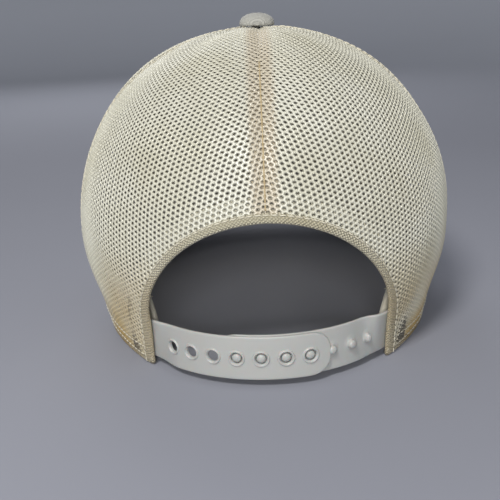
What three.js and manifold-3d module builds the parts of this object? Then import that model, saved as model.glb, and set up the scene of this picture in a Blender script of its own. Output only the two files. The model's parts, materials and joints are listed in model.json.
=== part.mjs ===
// Trucker cap with a mesh back and a snap strap. Millimetres, +Z up, the visor points along -Y.
// Z = 0 is the plane that the rear tabs and the visor's side edges rest on.
import * as THREE from "three";
import { mergeVertices } from "three/addons/utils/BufferGeometryUtils.js";
import Module from "manifold-3d";

// Crown outline, from the middle of the cloth wall
const RIM_HALF_WIDTH = 78;
const RIM_FRONT = 94;
const RIM_BACK = 94;
const SIDE_BULGE = 12; // how far each stretch swells past the rim
const FRONT_BULGE = 2;
const BACK_BULGE = 8;
const BULGE_HEIGHT = 52; // level of the widest ring
const WAIST = 0.5; // 0 flares straight from the rim, 1 starts upright
const CROWN_HEIGHT = 140;
const DOME_SQUARENESS = 0.93; // under 1 fills the shoulders of the dome
const RISE_OF_BULGE = 0.4; // share of the wall's own coordinate spent below the widest ring
const FRONT_LIFT = 26; // the lower edge rises towards the middle of the front, over the visor
const LIFT_ANGLE = 135; // degrees from the front where that rise ends

// Cloth and foam
const MESH_THICKNESS = 0.9;
const FRONT_CLOTH_THICKNESS = 0.9;
const FOAM_THICKNESS = 3.2;
const TAPE_WIDTH = 13;
const TAPE_THICKNESS = 0.8;
const TAPE_TOP_SHARE = 0.32; // largest half width, in radians, where the tapes meet at the top
const BINDING_THICKNESS = 0.7;
const BINDING_WIDTH = 5;
const HEM_WIDTH = 9;
const SWEATBAND_HEIGHT = 32;
const SWEATBAND_THICKNESS = 1.6;
const LAYER_GAP = 0.6; // between sewn layers
const SEAM_GAP = 0.5; // between two panels that meet edge to edge

// Where the seams run, in degrees from the middle of the front
const FRONT_SEAM = 60;
const SIDE_SEAM = 104;

// Arch over the straps, in the middle of the back
const ARCH_HALF_WIDTH = 51.5;
const ARCH_SIDE = 24; // height of its straight sides
const ARCH_TOP = 71;
const CUTTER_REACH = 5.4; // of the arch's cutting shape to each side of the mesh
const CUTTER_BELOW = 2; // the rim, where that shape starts
const ARCH_TRIM = 0.35; // the mesh stops this far short of the fold that covers its edge

// Top button, rivet and washer
const BUTTON_RADIUS = 8.3;
const BUTTON_HEIGHT = 5.6;
const BUTTON_CLOTH = 0.6;
const RIVET_RADIUS = 1.4;
const RIVET_HEAD_RADIUS = 4;
const RIVET_HEAD = 0.9;
const WASHER_RADIUS = 8;
const WASHER_THICKNESS = 0.9;
const BUTTON_RIM_CLEARANCE = 6; // from the washer to the foam and the tapes
const RIVET_SHARE = 0.6; // of the shell's height that the rivet reaches
const EYE_RADIUS = 2.6; // hole that the panels leave round the rivet

// Snap straps
const STRAP_WIDTH = 19;
const STRAP_THICKNESS = 1.3;
const STRAP_BOTTOM = 3.5;
const SNAP_PITCH = 10;
const SNAP_COUNT = 7;
const SNAPS_ENGAGED = 4;
const HOLE_RADIUS = 2.7;
const RING_RADIUS = 3.6;
const RING_HEIGHT = 0.5;
const PEG_RADIUS = 1.9;
const PEG_TIP_RADIUS = 1.1;
const PEG_HEIGHT = 2.3;
const FIRST_HOLE = 10.5; // from the hinge line, or more where the tabs are further apart
const FIRST_PEG = 8;
const STRAP_END = 8.5; // plastic past the last hole or peg
const STRAP_SLACK = 1.08; // least length of the joined straps over the straight way between the tabs
const STRAP_ROUNDNESS = 2.4; // of the free end, where 2 is a half circle
const STRAP_TIP_SHARE = 0.985; // of the round end, where its outline is cut square
const HINGE_GAP = 0.9; // from the hinge line to the plastic on each side
const HINGE_TO_EDGE = 2.4; // from the arch's edge to the hinge line
const TAIL_GAP = 2.4; // from the hinge line to the sewn tail
const TAIL_LENGTH = 13; // from the hinge line to the far end of the sewn tail

// Visor
const VISOR_REACH = 70;
const VISOR_OVERHANG = 13; // of the widest line past the crown's rim, on each side
const VISOR_SET_FORWARD = -6; // of the widest line from the front of the rim
const VISOR_SLOPE = 0.11; // fall per millimetre towards the tip
const VISOR_BOARD = 2;
const VISOR_CLOTH = 0.8;
const VISOR_INSET = 2.4; // of the board's edge from the cloth's edge
const VISOR_CLEARANCE = 1; // from the crown's cloth
const VISOR_ANGLE = 62; // half of the crown's front that it is sewn to, in degrees
const VISOR_CORNER = 3; // width left where the outline meets the crown

// How finely the curved solids are faceted
const WALL_ROWS = 16;
const ARCH_STEPS = 28;
const STRAP_STEPS = 16;
const STUD_SIDES = 12;
const VISOR_STEPS = 24;

const RAD = Math.PI / 180;
const FOLD = BINDING_THICKNESS + LAYER_GAP; // a folded edge reaches this far past the cloth in it
const wasm = await Module();
wasm.setup();

// --- Crown surface -----------------------------------------------------------------------------

const mix = (a, b, t) => a + (b - a) * t;

// Half width and half length of the crown's oval at a rise from 0 (rim) to 1 (top of the dome).
function oval(rise, front) {
  const rimLength = front ? RIM_FRONT : RIM_BACK;
  const bulge = front ? FRONT_BULGE : BACK_BULGE;
  if (rise < RISE_OF_BULGE) {
    const climb = rise / RISE_OF_BULGE;
    const swell = mix(1 - (1 - climb) ** 2, climb * climb * (3 - 2 * climb), WAIST);
    return [RIM_HALF_WIDTH + SIDE_BULGE * swell, rimLength + bulge * swell];
  }
  const turn = ((rise - RISE_OF_BULGE) / (1 - RISE_OF_BULGE)) * (Math.PI / 2);
  const share = Math.pow(Math.max(Math.cos(turn), 0), DOME_SQUARENESS);
  return [(RIM_HALF_WIDTH + SIDE_BULGE) * share, (rimLength + bulge) * share];
}

function heightAt(rise) {
  if (rise < RISE_OF_BULGE) return (BULGE_HEIGHT * rise) / RISE_OF_BULGE;
  const turn = ((rise - RISE_OF_BULGE) / (1 - RISE_OF_BULGE)) * (Math.PI / 2);
  return BULGE_HEIGHT + (CROWN_HEIGHT - BULGE_HEIGHT) * Math.sin(turn);
}

// The rise at which the wall reaches a height below the widest ring or above it.
function riseAt(height) {
  if (height < BULGE_HEIGHT) return (height / BULGE_HEIGHT) * RISE_OF_BULGE;
  const share = (height - BULGE_HEIGHT) / (CROWN_HEIGHT - BULGE_HEIGHT);
  return mix(RISE_OF_BULGE, 1, Math.asin(Math.min(share, 1)) / (Math.PI / 2));
}

function wallRadius(angle, rise) {
  const [width, length] = oval(rise, Math.cos(angle) > 0);
  return 1 / Math.hypot(Math.sin(angle) / width, Math.cos(angle) / length);
}

// The rise at which the wall is a given distance from the crown's axis, near the top.
function riseAtRadius(radius) {
  const share = radius / (RIM_HALF_WIDTH + SIDE_BULGE);
  const turn = Math.acos(Math.pow(share, 1 / DOME_SQUARENESS));
  return mix(RISE_OF_BULGE, 1, turn / (Math.PI / 2));
}

function wallPoint(angle, rise) {
  const radius = wallRadius(angle, rise);
  return new THREE.Vector3(radius * Math.sin(angle), -radius * Math.cos(angle), heightAt(rise));
}

function wallNormal(angle, rise) {
  const step = 1e-3;
  const along = wallPoint(angle + step, rise).sub(wallPoint(angle - step, rise));
  const up = wallPoint(angle, rise + step).sub(wallPoint(angle, rise - step));
  return along.cross(up).normalize();
}

// A point off the wall by `out`, counted outwards. Angle in radians from the middle of the front.
function crownPoint(angle, rise, out) {
  return wallPoint(angle, rise).addScaledVector(wallNormal(angle, rise), out);
}

// Height of the crown's lower edge: flat round the back, rising towards the middle of the front.
function edgeHeight(angle) {
  const share = Math.min(Math.abs(angle) / (LIFT_ANGLE * RAD), 1);
  return FOLD + FRONT_LIFT * Math.pow(Math.cos((share * Math.PI) / 2), 2);
}

// --- Solids from grids of points ---------------------------------------------------------------

const spread = (from, to, steps) => Array.from({ length: steps + 1 }, (_, i) => mix(from, to, i / steps));

function geometryOf(points, faces) {
  const geometry = new THREE.BufferGeometry();
  const values = points.flatMap((p) => [p.x, p.y, p.z]);
  geometry.setAttribute("position", new THREE.Float32BufferAttribute(values, 3));
  geometry.setIndex(faces);
  return facingOut(geometry);
}

// Turns every face round if the closed surface would enclose a negative volume.
function facingOut(geometry) {
  const index = geometry.index.array;
  const position = geometry.attributes.position;
  const corner = (k) => new THREE.Vector3().fromBufferAttribute(position, index[k]);
  let volume = 0;
  for (let k = 0; k < index.length; k += 3)
    volume += corner(k).dot(corner(k + 1).cross(corner(k + 2)));
  if (volume < 0) geometry.setIndex([...index].reverse());
  return geometry;
}

// A slab between two point grids of the same size. `pointAt` takes a column, a row and a side.
function slab(columns, rows, pointAt) {
  const points = [];
  for (const side of [0, 1])
    for (let i = 0; i < columns; i++)
      for (let j = 0; j < rows; j++) points.push(pointAt(i, j, side));
  const at = (i, j, side) => (side * columns + i) * rows + j;
  const faces = [];
  const quad = (a, b, c, d) => faces.push(a, b, c, a, c, d);
  for (let i = 0; i + 1 < columns; i++)
    for (let j = 0; j + 1 < rows; j++) {
      quad(at(i, j, 1), at(i + 1, j, 1), at(i + 1, j + 1, 1), at(i, j + 1, 1));
      quad(at(i, j, 0), at(i, j + 1, 0), at(i + 1, j + 1, 0), at(i + 1, j, 0));
    }
  for (let i = 0; i + 1 < columns; i++) {
    quad(at(i, 0, 0), at(i + 1, 0, 0), at(i + 1, 0, 1), at(i, 0, 1));
    quad(at(i, rows - 1, 1), at(i + 1, rows - 1, 1), at(i + 1, rows - 1, 0), at(i, rows - 1, 0));
  }
  for (let j = 0; j + 1 < rows; j++) {
    quad(at(0, j, 1), at(0, j + 1, 1), at(0, j + 1, 0), at(0, j, 0));
    quad(at(columns - 1, j, 0), at(columns - 1, j + 1, 0), at(columns - 1, j + 1, 1), at(columns - 1, j, 1));
  }
  return geometryOf(points, faces);
}

// A section of (across, out) points carried along stations, with both ends closed.
function sweep(stations, section, pointAt) {
  const points = stations.flatMap((station) => section.map(([across, out]) => pointAt(station, across, out)));
  const count = section.length;
  const faces = [];
  for (let s = 0; s + 1 < stations.length; s++)
    for (let k = 0; k < count; k++) {
      const next = (k + 1) % count;
      const a = s * count + k;
      const b = s * count + next;
      faces.push(a, b, b + count, a, b + count, a + count);
    }
  const outline = section.map(([across, out]) => new THREE.Vector2(across, out));
  const last = (stations.length - 1) * count;
  for (const [a, b, c] of THREE.ShapeUtils.triangulateShape(outline, [])) {
    faces.push(a, c, b);
    faces.push(last + a, last + b, last + c);
  }
  return geometryOf(points, faces);
}

function solidOf(geometry) {
  const bare = geometry.clone();
  bare.deleteAttribute("normal");
  bare.deleteAttribute("uv");
  const merged = mergeVertices(bare, 1e-4);
  const solid = new wasm.Manifold(new wasm.Mesh({
    numProp: 3,
    vertProperties: merged.attributes.position.array,
    triVerts: new Uint32Array(merged.index.array),
  }));
  return solid;
}

function geometryFrom(solid) {
  const mesh = solid.getMesh();
  const geometry = new THREE.BufferGeometry();
  geometry.setAttribute("position", new THREE.BufferAttribute(mesh.vertProperties, 3));
  geometry.setIndex(new THREE.BufferAttribute(mesh.triVerts, 1));
  return geometry;
}

// --- Materials ---------------------------------------------------------------------------------

const material = (color, roughness, metalness = 0) =>
  new THREE.MeshStandardMaterial({ color, roughness, metalness });
const looks = {
  mesh: material("#c6c0a2", 0.45),
  seam: material("#b9ab84", 0.6),
  cloth: material("#dcd9cc", 0.7),
  foam: material("#e4dfcb", 0.9),
  terry: material("#e2dcc8", 0.9),
  plastic: material("#dfe0da", 0.35),
  board: material("#d8d8d4", 0.5),
  metal: material("#9a9c9e", 0.35, 0.9),
};

const cap = new THREE.Group();

function add(name, geometry, look) {
  const mesh = new THREE.Mesh(geometry, looks[look]);
  mesh.name = name;
  cap.add(mesh);
}

// --- Crown panels ------------------------------------------------------------------------------

// A patch of wall between two angles, trimmed back by a distance along each side.
function wallPatch({ from, to, trimFrom, trimTo, low, high, inner, outer, columns, rows }) {
  return slab(columns + 1, rows + 1, (i, j, side) => {
    const across = i / columns;
    const rough = mix(from, to, across);
    const bottom = typeof low === "function" ? low(rough) : low;
    const rise = mix(bottom, high, j / rows);
    const radius = wallRadius(rough, rise);
    const angle = mix(from + trimFrom / radius, to - trimTo / radius, across);
    return crownPoint(angle, rise, side ? outer : inner);
  });
}

const edgeRise = (angle) => riseAt(edgeHeight(angle));
const eyeRise = riseAtRadius(EYE_RADIUS + SEAM_GAP);
const halfMesh = MESH_THICKNESS / 2;

function meshPanel(from, to, columns) {
  return wallPatch({
    from: from * RAD,
    to: to * RAD,
    trimFrom: SEAM_GAP / 2,
    trimTo: SEAM_GAP / 2,
    low: edgeRise,
    high: eyeRise,
    inner: -halfMesh,
    outer: halfMesh,
    columns,
    rows: WALL_ROWS,
  });
}

// Angle from the middle of the back at which the wall is a distance `x` from the middle plane.
function backAngle(x, rise) {
  const [width, length] = oval(rise, false);
  return Math.atan2(x, length * Math.sqrt(1 - (x / width) ** 2));
}

function archHeight(x) {
  const share = Math.min(Math.abs(x) / ARCH_HALF_WIDTH, 1);
  return ARCH_SIDE + (ARCH_TOP - ARCH_SIDE) * Math.sqrt(1 - share * share);
}

function archCutter() {
  const reach = CUTTER_REACH;
  const rows = 6;
  const wider = 1 + ARCH_TRIM / ARCH_HALF_WIDTH;
  return slab(ARCH_STEPS + 1, rows + 1, (i, j, side) => {
    const x = ARCH_HALF_WIDTH * Math.sin(mix(-Math.PI / 2, Math.PI / 2, i / ARCH_STEPS));
    const rise = riseAt(mix(-CUTTER_BELOW, archHeight(x) + ARCH_TRIM, j / rows));
    return crownPoint(Math.PI - backAngle(x * wider, rise), rise, side ? reach : -reach);
  });
}

const archSolid = solidOf(archCutter());
const rearPanel = (from, to) => geometryFrom(solidOf(meshPanel(from, to, 10)).subtract(archSolid));
add("left_side_mesh_panel", meshPanel(FRONT_SEAM, SIDE_SEAM, 6), "mesh");
add("right_side_mesh_panel", meshPanel(-SIDE_SEAM, -FRONT_SEAM, 6), "mesh");
add("left_rear_mesh_panel", rearPanel(SIDE_SEAM, 180), "mesh");
add("right_rear_mesh_panel", rearPanel(-180, -SIDE_SEAM), "mesh");

const frontSkin = FRONT_CLOTH_THICKNESS / 2;
add("front_panel_cloth", wallPatch({
  from: -FRONT_SEAM * RAD,
  to: FRONT_SEAM * RAD,
  trimFrom: SEAM_GAP / 2,
  trimTo: SEAM_GAP / 2,
  low: edgeRise,
  high: eyeRise,
  inner: -frontSkin,
  outer: frontSkin,
  columns: 16,
  rows: WALL_ROWS,
}), "cloth");

const foamOuter = -frontSkin - LAYER_GAP;
const foamTrim = TAPE_WIDTH / 2 + 2 * LAYER_GAP;
add("front_panel_foam", wallPatch({
  from: -FRONT_SEAM * RAD,
  to: FRONT_SEAM * RAD,
  trimFrom: foamTrim,
  trimTo: foamTrim,
  low: (angle) => riseAt(edgeHeight(angle) + 1),
  high: riseAtRadius(WASHER_RADIUS + BUTTON_RIM_CLEARANCE),
  inner: foamOuter - FOAM_THICKNESS,
  outer: foamOuter,
  columns: 12,
  rows: WALL_ROWS,
}), "foam");

// --- Seam tapes, arch binding and hems ---------------------------------------------------------

const tapeOuter = -Math.max(halfMesh, frontSkin) - LAYER_GAP;
const tapeInner = tapeOuter - TAPE_THICKNESS;

// Tape inside a seam. It narrows towards the top, where all five tapes meet round the washer.
function seamTape(seam, bottom) {
  const top = riseAtRadius(WASHER_RADIUS + 1);
  return slab(3, WALL_ROWS + 1, (i, j, side) => {
    const rise = mix(riseAt(bottom), top, j / WALL_ROWS);
    const radius = wallRadius(seam * RAD, rise);
    const half = Math.min(TAPE_WIDTH / 2 / radius, TAPE_TOP_SHARE);
    return crownPoint(seam * RAD + mix(-half, half, i / 2), rise, side ? tapeOuter : tapeInner);
  });
}

const aboveHem = (seam) => edgeHeight(seam * RAD) + HEM_WIDTH + 2;
add("left_front_seam_tape", seamTape(FRONT_SEAM, aboveHem(FRONT_SEAM)), "seam");
add("right_front_seam_tape", seamTape(-FRONT_SEAM, aboveHem(FRONT_SEAM)), "seam");
add("left_side_seam_tape", seamTape(SIDE_SEAM, aboveHem(SIDE_SEAM)), "seam");
add("right_side_seam_tape", seamTape(-SIDE_SEAM, aboveHem(SIDE_SEAM)), "seam");
add("back_seam_tape", seamTape(180, ARCH_TOP + BINDING_WIDTH + 1), "seam");

// A folded strip round an edge: `across` counts from the edge into the cloth, `out` from its middle.
function foldSection(width) {
  const near = halfMesh + LAYER_GAP;
  const far = near + BINDING_THICKNESS;
  return [
    [width, near], [width, far], [0, far], [-FOLD, near], [-FOLD, -near], [0, -far],
    [width, -far], [width, -near], [-LAYER_GAP, -near], [-LAYER_GAP, near],
  ];
}

// Edge of the arch as [x, height], from one tab over the top to the other.
function archStations() {
  const bend = spread(-1, 1, ARCH_STEPS).map((t) => {
    const x = ARCH_HALF_WIDTH * Math.sin((t * Math.PI) / 2);
    return [x, archHeight(x)];
  });
  const straight = spread(FOLD + HEM_WIDTH + 1, ARCH_SIDE, 3).slice(0, -1);
  const start = straight.map((height) => [-ARCH_HALF_WIDTH, height]);
  const end = straight.map((height) => [ARCH_HALF_WIDTH, height]).reverse();
  return [...start, ...bend, ...end];
}

// `across` runs along the wall, square to the arch's edge and away from the opening.
function archBindingPoint(stations, index, across, out) {
  const angleOf = ([x, height]) => Math.PI - backAngle(x, riseAt(height));
  const place = (station) => wallPoint(angleOf(station), riseAt(station[1]));
  const before = place(stations[Math.max(index - 1, 0)]);
  const after = place(stations[Math.min(index + 1, stations.length - 1)]);
  const here = stations[index];
  const normal = wallNormal(angleOf(here), riseAt(here[1]));
  const away = after.sub(before).normalize().cross(normal).normalize();
  const moved = place(here).addScaledVector(away, across);
  return crownPoint(Math.atan2(moved.x, -moved.y), riseAt(moved.z), out);
}

const stations = archStations();
add("arch_binding", sweep(
  stations.map((_, index) => index),
  foldSection(BINDING_WIDTH),
  (index, across, out) => archBindingPoint(stations, index, across, out),
), "seam");

// Folded hem along the lower edge of one side, from the front seam to the arch.
function lowerHem(from, to) {
  return sweep(spread(from, to, 18), foldSection(HEM_WIDTH), (angle, across, out) => {
    const edge = edgeHeight(angle);
    const point = crownPoint(angle, riseAt(edge + Math.max(across, 0)), out);
    return across < 0 ? point.setZ(edge + across) : point;
  });
}

const hemBack = Math.PI - backAngle(ARCH_HALF_WIDTH, riseAt(FOLD));
const hemFront = FRONT_SEAM * RAD;
add("left_lower_hem", lowerHem(hemFront, hemBack), "seam");
add("right_lower_hem", lowerHem(-hemBack, -hemFront), "seam");

// --- Snap straps -------------------------------------------------------------------------------

// The hole strap lies over the peg strap. Each is level with the sewn tail inside its own tab.
const strapStep = STRAP_THICKNESS + LAYER_GAP;
const holeStrapOut = -halfMesh - 2 * LAYER_GAP - BINDING_THICKNESS - STRAP_THICKNESS / 2;
const pegStrapOut = holeStrapOut - strapStep;

// Foot of the left hinge line: level with the straps and clear of the arch's folded edge.
function hingeFoot() {
  const rise = riseAt(STRAP_BOTTOM + STRAP_WIDTH / 2);
  const edge = Math.PI - backAngle(ARCH_HALF_WIDTH, rise);
  const angle = edge + HINGE_TO_EDGE / wallRadius(edge, rise);
  return crownPoint(angle, rise, (holeStrapOut + pegStrapOut) / 2);
}

// Half of the angle that an arc of the straps' length spans between hinge lines this far apart.
function arcHalfAngle(halfChord) {
  let low = 0.01;
  let high = Math.PI / 2;
  for (let i = 0; i < 50; i++) {
    const middle = (low + high) / 2;
    if (Math.sin(middle) / middle > halfChord / (strapSpan / 2)) low = middle;
    else high = middle;
  }
  return low;
}

// The joined straps are as long as their snaps make them, or longer where the tabs ask for it.
const foot = hingeFoot();
const snapsBetween = 2 * SNAP_COUNT - SNAPS_ENGAGED - 1;
const snappedSpan = FIRST_HOLE + FIRST_PEG + SNAP_PITCH * snapsBetween;
const strapSpan = Math.max(snappedSpan, 2 * foot.x * STRAP_SLACK);
const firstHole = FIRST_HOLE + strapSpan - snappedSpan;
const strapHalfAngle = arcHalfAngle(foot.x);
const strapRadius = strapSpan / 2 / strapHalfAngle;
const strapCentre = foot.y - strapRadius * Math.cos(strapHalfAngle);
const snapAngle = SNAP_PITCH / strapRadius;

// A point on a strap: angle from the middle of the back towards +X, height up the strap, and out.
function strapPoint(angle, up, out) {
  const radius = strapRadius + out;
  const y = strapCentre + radius * Math.cos(angle);
  return new THREE.Vector3(radius * Math.sin(angle), y, STRAP_BOTTOM + up);
}

// Strap from its sewn end (`start`) towards its free round end, along `way` (+1 towards +X).
function strapSolid(start, way, length, level) {
  const round = STRAP_WIDTH / 2;
  const grid = slab(STRAP_STEPS + 1, 3, (i, j, side) => {
    const along = mix(HINGE_GAP, length, Math.sin((i / STRAP_STEPS) * (Math.PI / 2)));
    const past = Math.min(Math.max((along - (length - round)) / round, 0), STRAP_TIP_SHARE);
    const half = (STRAP_WIDTH / 2) * Math.pow(1 - past ** STRAP_ROUNDNESS, 1 / STRAP_ROUNDNESS);
    const up = STRAP_WIDTH / 2 + mix(-half, half, j / 2);
    const out = level + (side ? 0.5 : -0.5) * STRAP_THICKNESS;
    return strapPoint(start + (way * along) / strapRadius, up, out);
  });
  return solidOf(grid);
}

// A round solid standing on a strap's middle line, from `foot` to `top` above its middle.
function stud(angle, level, foot, top, footRadius, topRadius) {
  const geometry = new THREE.CylinderGeometry(topRadius, footRadius, top - foot, STUD_SIDES);
  geometry.rotateX(Math.PI / 2);
  const base = strapPoint(angle, STRAP_WIDTH / 2, level);
  const outward = strapPoint(angle, STRAP_WIDTH / 2, level + 1).sub(base);
  const turn = new THREE.Quaternion().setFromUnitVectors(new THREE.Vector3(0, 0, 1), outward);
  geometry.applyQuaternion(turn);
  base.addScaledVector(outward, (foot + top) / 2);
  geometry.translate(base.x, base.y, base.z);
  return solidOf(geometry);
}

const holeReach = firstHole + SNAP_PITCH * (SNAP_COUNT - 1) + STRAP_END;
const pegReach = FIRST_PEG + SNAP_PITCH * (SNAP_COUNT - 1) + STRAP_END;
const skin = STRAP_THICKNESS / 2;
const through = skin + 2 * RING_HEIGHT;

function holeStrap() {
  let strap = strapSolid(strapHalfAngle, -1, holeReach, strapStep / 2);
  const places = spread(0, SNAP_COUNT - 1, SNAP_COUNT - 1)
    .map((k) => strapHalfAngle - firstHole / strapRadius - k * snapAngle);
  for (const angle of places) {
    strap = strap.add(stud(angle, strapStep / 2, 0, skin + RING_HEIGHT, RING_RADIUS, RING_RADIUS));
    strap = strap.subtract(stud(angle, strapStep / 2, -through, through, HOLE_RADIUS, HOLE_RADIUS));
  }
  return geometryFrom(strap);
}

function pegStrap() {
  let strap = strapSolid(-strapHalfAngle, 1, pegReach, -strapStep / 2);
  for (let k = 0; k < SNAP_COUNT; k++) {
    const angle = -strapHalfAngle + FIRST_PEG / strapRadius + k * snapAngle;
    strap = strap.add(stud(angle, -strapStep / 2, 0, skin + PEG_HEIGHT, PEG_RADIUS, PEG_TIP_RADIUS));
  }
  return geometryFrom(strap);
}

// Sewn end of a strap inside its tab. `side` is +1 at the left tab (+X) and -1 at the right one.
function strapTail(side, level) {
  return slab(5, 5, (i, j, layer) => {
    const share = side > 0 ? 1 - i / 4 : i / 4;
    const along = mix(-TAIL_GAP, -TAIL_LENGTH, share);
    const height = mix(STRAP_BOTTOM, STRAP_BOTTOM + STRAP_WIDTH, j / 4);
    const rise = riseAt(height);
    const edge = Math.PI - backAngle(ARCH_HALF_WIDTH, rise);
    const angle = side * (edge + (along + HINGE_TO_EDGE) / wallRadius(edge, rise));
    return crownPoint(angle, rise, level + (layer ? 0.5 : -0.5) * STRAP_THICKNESS);
  });
}

function addStrap(name, geometry, side, level) {
  add(name, geometry, "plastic");
  const low = strapPoint(side * strapHalfAngle, 0, level);
  const high = strapPoint(side * strapHalfAngle, STRAP_WIDTH, level);
  cap.getObjectByName(name).userData.hinge = { point: low, axis: high.sub(low).normalize() };
}

addStrap("hole_strap", holeStrap(), 1, strapStep / 2);
addStrap("peg_strap", pegStrap(), -1, -strapStep / 2);
add("hole_strap_tail", strapTail(1, holeStrapOut), "plastic");
add("peg_strap_tail", strapTail(-1, pegStrapOut), "plastic");

// --- Sweatband ---------------------------------------------------------------------------------

const foamInner = foamOuter - FOAM_THICKNESS;
const bandOuter = Math.min(foamInner, pegStrapOut - STRAP_THICKNESS / 2) - LAYER_GAP;
const bandSteps = 32;
add("sweatband", slab(bandSteps + 1, 4, (i, j, side) => {
  const angle = mix(-hemBack, hemBack, i / bandSteps);
  const height = edgeHeight(angle) + 1 + (SWEATBAND_HEIGHT * j) / 3;
  return crownPoint(angle, riseAt(height), side ? bandOuter : bandOuter - SWEATBAND_THICKNESS);
}), "terry");

// --- Visor -------------------------------------------------------------------------------------

const visorTip = RIM_FRONT + VISOR_REACH;
const visorWidest = RIM_FRONT + VISOR_SET_FORWARD;
const visorHalfWidth = RIM_HALF_WIDTH + VISOR_OVERHANG;
const visorArch = FRONT_LIFT / visorHalfWidth ** 2;
const boardFoot = VISOR_CLOTH + LAYER_GAP;
const boardTop = boardFoot + VISOR_BOARD;
const visorThickness = boardTop + LAYER_GAP + VISOR_CLOTH;

// Underside of the visor: arched across and falling towards the tip.
const visorHeight = (x, y) =>
  Math.max(FRONT_LIFT + VISOR_SLOPE * (y + RIM_FRONT) - visorArch * x * x, 0);

// Where the visor's edge meets the crown, clear of its cloth at the height of the top cover.
function visorRoot(angle) {
  const rise = riseAt(edgeHeight(angle) + visorThickness);
  const root = crownPoint(angle, rise, halfMesh + VISOR_CLEARANCE + BINDING_THICKNESS);
  return new THREE.Vector2(root.x, root.y);
}

// Outline in plan, from one corner at the crown (-1) round the tip (0) to the other (+1).
function visorOutline(place) {
  const corner = visorRoot(VISOR_ANGLE * RAD);
  const behind = Math.acos((corner.x + VISOR_CORNER) / visorHalfWidth);
  const backLength = (visorWidest + corner.y) / Math.sin(behind);
  const turn = Math.PI / 2 - Math.abs(place) * (Math.PI / 2 + behind);
  const length = turn > 0 ? visorTip - visorWidest : backLength;
  const x = Math.sign(place) * visorHalfWidth * Math.cos(turn);
  return new THREE.Vector2(x, -visorWidest - length * Math.sin(turn));
}

// One layer of the visor, between two heights above its underside, held back from the outline.
function visorLayer(bottom, top, inset) {
  const rows = 4;
  return slab(VISOR_STEPS + 1, rows + 1, (i, j, side) => {
    const place = mix(-1, 1, i / VISOR_STEPS);
    const outer = visorOutline(place);
    const inner = visorRoot(place * VISOR_ANGLE * RAD);
    const reach = outer.clone().sub(inner);
    const trimmed = Math.max(reach.length() - inset, 1);
    const spot = inner.addScaledVector(reach.normalize(), mix(trimmed, 0, j / rows));
    return new THREE.Vector3(spot.x, spot.y, visorHeight(spot.x, spot.y) + (side ? top : bottom));
  });
}

add("visor_under_cover", visorLayer(0, VISOR_CLOTH, 0), "cloth");
add("visor_board", visorLayer(boardFoot, boardTop, VISOR_INSET), "board");
add("visor_top_cover", visorLayer(visorThickness - VISOR_CLOTH, visorThickness, 0), "cloth");

// --- Top button, rivet and washer --------------------------------------------------------------

// A turned solid on the crown's axis, from [radius, height] points.
function turned(profile, sides) {
  const geometry = new THREE.LatheGeometry(profile.map(([r, z]) => new THREE.Vector2(r, z)), sides);
  return facingOut(geometry.rotateX(Math.PI / 2));
}

const domeProfile = (radius, foot, height) =>
  spread(0, Math.PI / 2, 4).map((t) => [radius * Math.cos(t), foot + height * Math.sin(t)]);

const buttonFoot = CROWN_HEIGHT + frontSkin + LAYER_GAP;
const shellRadius = BUTTON_RADIUS - BUTTON_CLOTH - LAYER_GAP;
const shellHeight = BUTTON_HEIGHT - BUTTON_CLOTH - LAYER_GAP;
const rivetBore = RIVET_RADIUS + LAYER_GAP;
const rivetTop = buttonFoot + RIVET_SHARE * shellHeight;
const washerTop = CROWN_HEIGHT - frontSkin - 2 * LAYER_GAP;
const washerFoot = washerTop - WASHER_THICKNESS;

add("button_cloth", turned([
  [BUTTON_RADIUS - BUTTON_CLOTH, buttonFoot],
  ...domeProfile(BUTTON_RADIUS, buttonFoot, BUTTON_HEIGHT),
  ...domeProfile(BUTTON_RADIUS - BUTTON_CLOTH, buttonFoot, BUTTON_HEIGHT - BUTTON_CLOTH).reverse(),
], 20), "cloth");
add("button_shell", turned([
  [0, rivetTop + LAYER_GAP], [rivetBore, rivetTop + LAYER_GAP], [rivetBore, buttonFoot],
  ...domeProfile(shellRadius, buttonFoot, shellHeight),
], 20), "metal");
add("button_rivet", turned([
  [0, washerFoot - LAYER_GAP - RIVET_HEAD], [RIVET_HEAD_RADIUS, washerFoot - LAYER_GAP - RIVET_HEAD],
  [RIVET_HEAD_RADIUS, washerFoot - LAYER_GAP], [RIVET_RADIUS, washerFoot - LAYER_GAP],
  [RIVET_RADIUS, rivetTop], [0, rivetTop],
], 12), "metal");
add("button_washer", turned([
  [rivetBore, washerFoot], [WASHER_RADIUS, washerFoot], [WASHER_RADIUS, washerTop],
  [rivetBore, washerTop], [rivetBore, washerFoot],
], 16), "metal");

export default cap;
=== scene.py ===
import json
import math

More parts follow.
